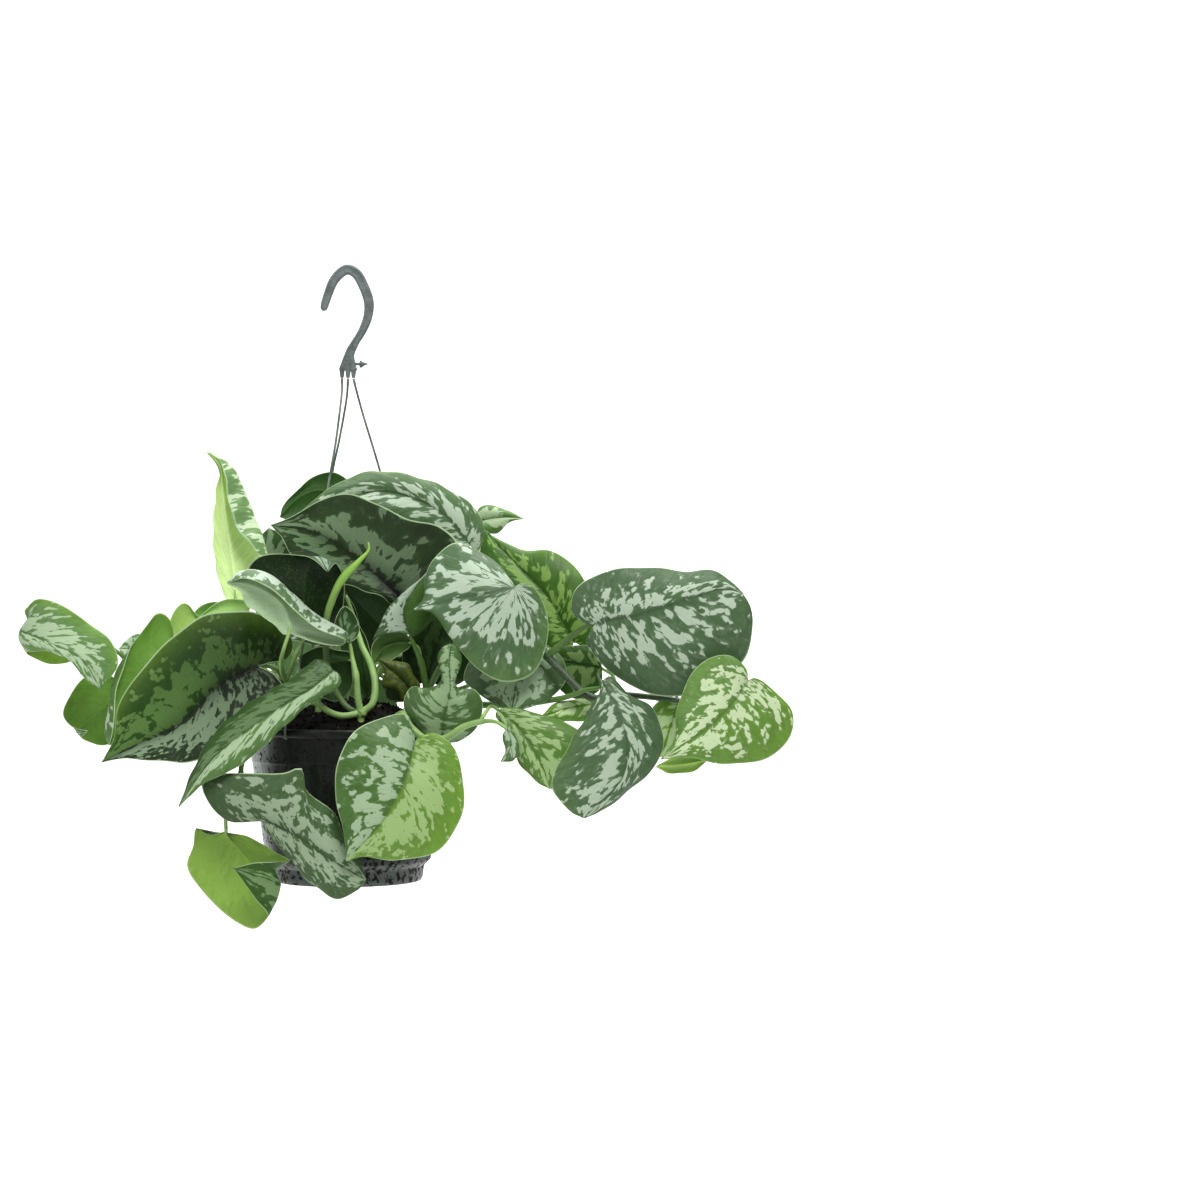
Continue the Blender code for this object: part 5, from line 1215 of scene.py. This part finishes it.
def run_body(radius, points, leaf_name, root, nodes):
    """One run as a tube: thick where it starts, swollen at its nodes and under its blade, or ending in a roll.

    The swellings are bell curves of the distance from a node, and the roll's radius grows with the turned angle.
    """
    path = real(points)
    if root is not None:
        path = np.vstack([root + (0, 0, lift) for lift in (-ROOT_DEPTH, 1.0, ROOT_STRAIGHT)] + [path])
    if leaf_name:
        end, under_rib = petiole_end(LEAVES[leaf_name])
        path = np.vstack([path, end])
    length = length_of(path)
    places = np.linspace(0, 1, max(FEWEST_RINGS, round(length / STEM_STEP)))
    line = smooth(path, places)
    angles = 2 * np.pi * np.arange(STEM_SIDES) / STEM_SIDES
    if leaf_name:
        radii = radius + (PETIOLE_END - radius) * places**2.4
        radii = radii * (1 + SWELL * bell((places - 1) * length + SWELL_FROM_END, SWELL_WIDTH))
    elif root is None:
        radii = np.interp(places, ROLL_PLACES, (radius, *ROLL_RADII))
    else:
        radii = np.full(len(places), radius)
    for node in nodes:
        radii = radii * (1 + NODE_SWELL * bell(np.linalg.norm(line - node, axis=1), NODE_WIDTH))
    lap = 0.0
    if leaf_name:
        line, radii = np.vstack([line, under_rib]), np.append(radii, PETIOLE_TIP)
    elif root is None:
        turns = (angles / (2 * np.pi) - ROLL_TURNS * places[:, None]) % 1 - 0.5
        lap = ROLL_LAP * np.clip((places[:, None] - 0.4) * 5, 0, 1) * turns
    return swept(line, circle(STEM_SIDES) * (radii[:, None] * (1 + lap + 0 * angles))[..., None])


stem_green, start, wire = coat("stem_green", roughness=0.42, IOR=1.45)
place = place_of(start)
cloud = place.noise(70, detail=3)
fibres = place.noise(900, detail=3, roughness=0.6)
stem = kept(start, "stem").mix(linear(66, 88, 48), cloud.step(0.45, 0.7) * 0.3)
wire(Base_Color=stem.mix(linear(196, 216, 158), fibres.step(0.55, 0.72) * 0.22),
     Roughness=0.34 + fibres * 0.22,
     Normal=bumped(start, fibres, 0.25, 0.0006))

STEM, PETIOLE, NEW_LEAF = (84, 112, 62), (140, 176, 100), (136, 182, 72)
RUNNERS = {"lime_right": (46, 64, 40), "right_big": (84, 116, 56), "top": (70, 96, 50),
           "top_left": (66, 92, 48), "centre_silver": (78, 116, 44), "far_left": (96, 130, 66),
           "left_big": (120, 152, 88), "far_right": (76, 108, 44), "right_back": (84, 118, 56),
           "hanging_right": (88, 124, 58), "swirl": (96, 128, 70)}

for name, (stand, runs) in VINES.items():
    starts = [real([points[0]])[0] for _, points, _ in runs[1:]]
    bodies, tints = [], []
    for number, (radius, points, leaf_name) in enumerate(runs):
        body = run_body(radius, points, leaf_name, root_of(stand) if number == 0 else None, starts)
        bodies.append(body)
        foot = RUNNERS.get(leaf_name, PETIOLE) if leaf_name else STEM
        end = foot if leaf_name or number == 0 else NEW_LEAF
        share = np.clip(np.linspace(-1.6, 1.5, len(body[0])), 0, 1)[:, None]
        tints.append(np.array(linear(*foot)) * (1 - share) + np.array(linear(*end)) * share)
    vine = piece(f"vine_{name}_dressed", joined(bodies), [stem_green], ["vine_" + name])
    painted(vine, "stem", np.vstack(tints))


# Studio
# A pale floor that curves up behind the plant, a broad soft light from the upper right, a weaker one from the
# left, a large one over the paper behind, and an even white surround.

def sweep_of_paper(half_width, start_y, bend_y, floor_z, bend, height):
    """A sheet that lies flat, turns up through a quarter circle and stands: straight lines across a profile."""
    turn = np.linspace(0, np.pi / 2, 24)
    profile = [(start_y, floor_z)]
    profile += list(zip(bend_y + bend * np.sin(turn), floor_z + bend * (1 - np.cos(turn))))
    profile.append((bend_y + bend, floor_z + height))
    profile = np.array(profile)
    left, right = (np.column_stack([np.full(len(profile), side), profile]) for side in (-half_width, half_width))
    points = np.concatenate([left, right])
    low = np.arange(len(profile) - 1)
    faces = np.stack([low, low + len(profile), low + len(profile) + 1, low + 1], axis=1)
    return points, faces.tolist()


paper, start, wire = coat("studio_paper", roughness=0.95)
grain = place_of(start).noise(40, detail=3)
wire(Base_Color=start.colour(238, 238, 236).mix(linear(244, 244, 243), grain))
points, faces = sweep_of_paper(half_width=9.0, start_y=-9.0, bend_y=2.2, floor_z=-1.25, bend=2.4, height=7.0)
floor = placed("studio_floor", mesh_of("studio_floor", points, faces, [paper]))


def soft_light(name, place, aim, size, power):
    """A square soft light of that size in metres and power in watts, turned to what it is aimed at."""
    made = placed(name, bpy.data.lights.new(name, "AREA"))
    made.data.shape, made.data.size, made.data.energy = "SQUARE", size, power
    made.location = place
    made.rotation_euler = (Vector(place) - Vector(aim)).to_track_quat("Z", "Y").to_euler()


middle = (0.04, 0.0, -0.32)
soft_light("key_light", (0.7, -1.5, 2.0), middle, 1.3, 74)
soft_light("side_light", (-1.9, -1.6, 0.6), middle, 1.5, 18)
soft_light("paper_light", (0.2, 1.4, 2.6), (0.2, 4.2, -0.4), 3.0, 260)

world = bpy.data.worlds.new("studio")
world.use_nodes = True
surround = world.node_tree.nodes["Background"].inputs
surround["Color"].default_value, surround["Strength"].default_value = (1, 1, 1, 1), 0.24
bpy.context.scene.world = world
bpy.context.scene.view_settings.view_transform = "Standard"
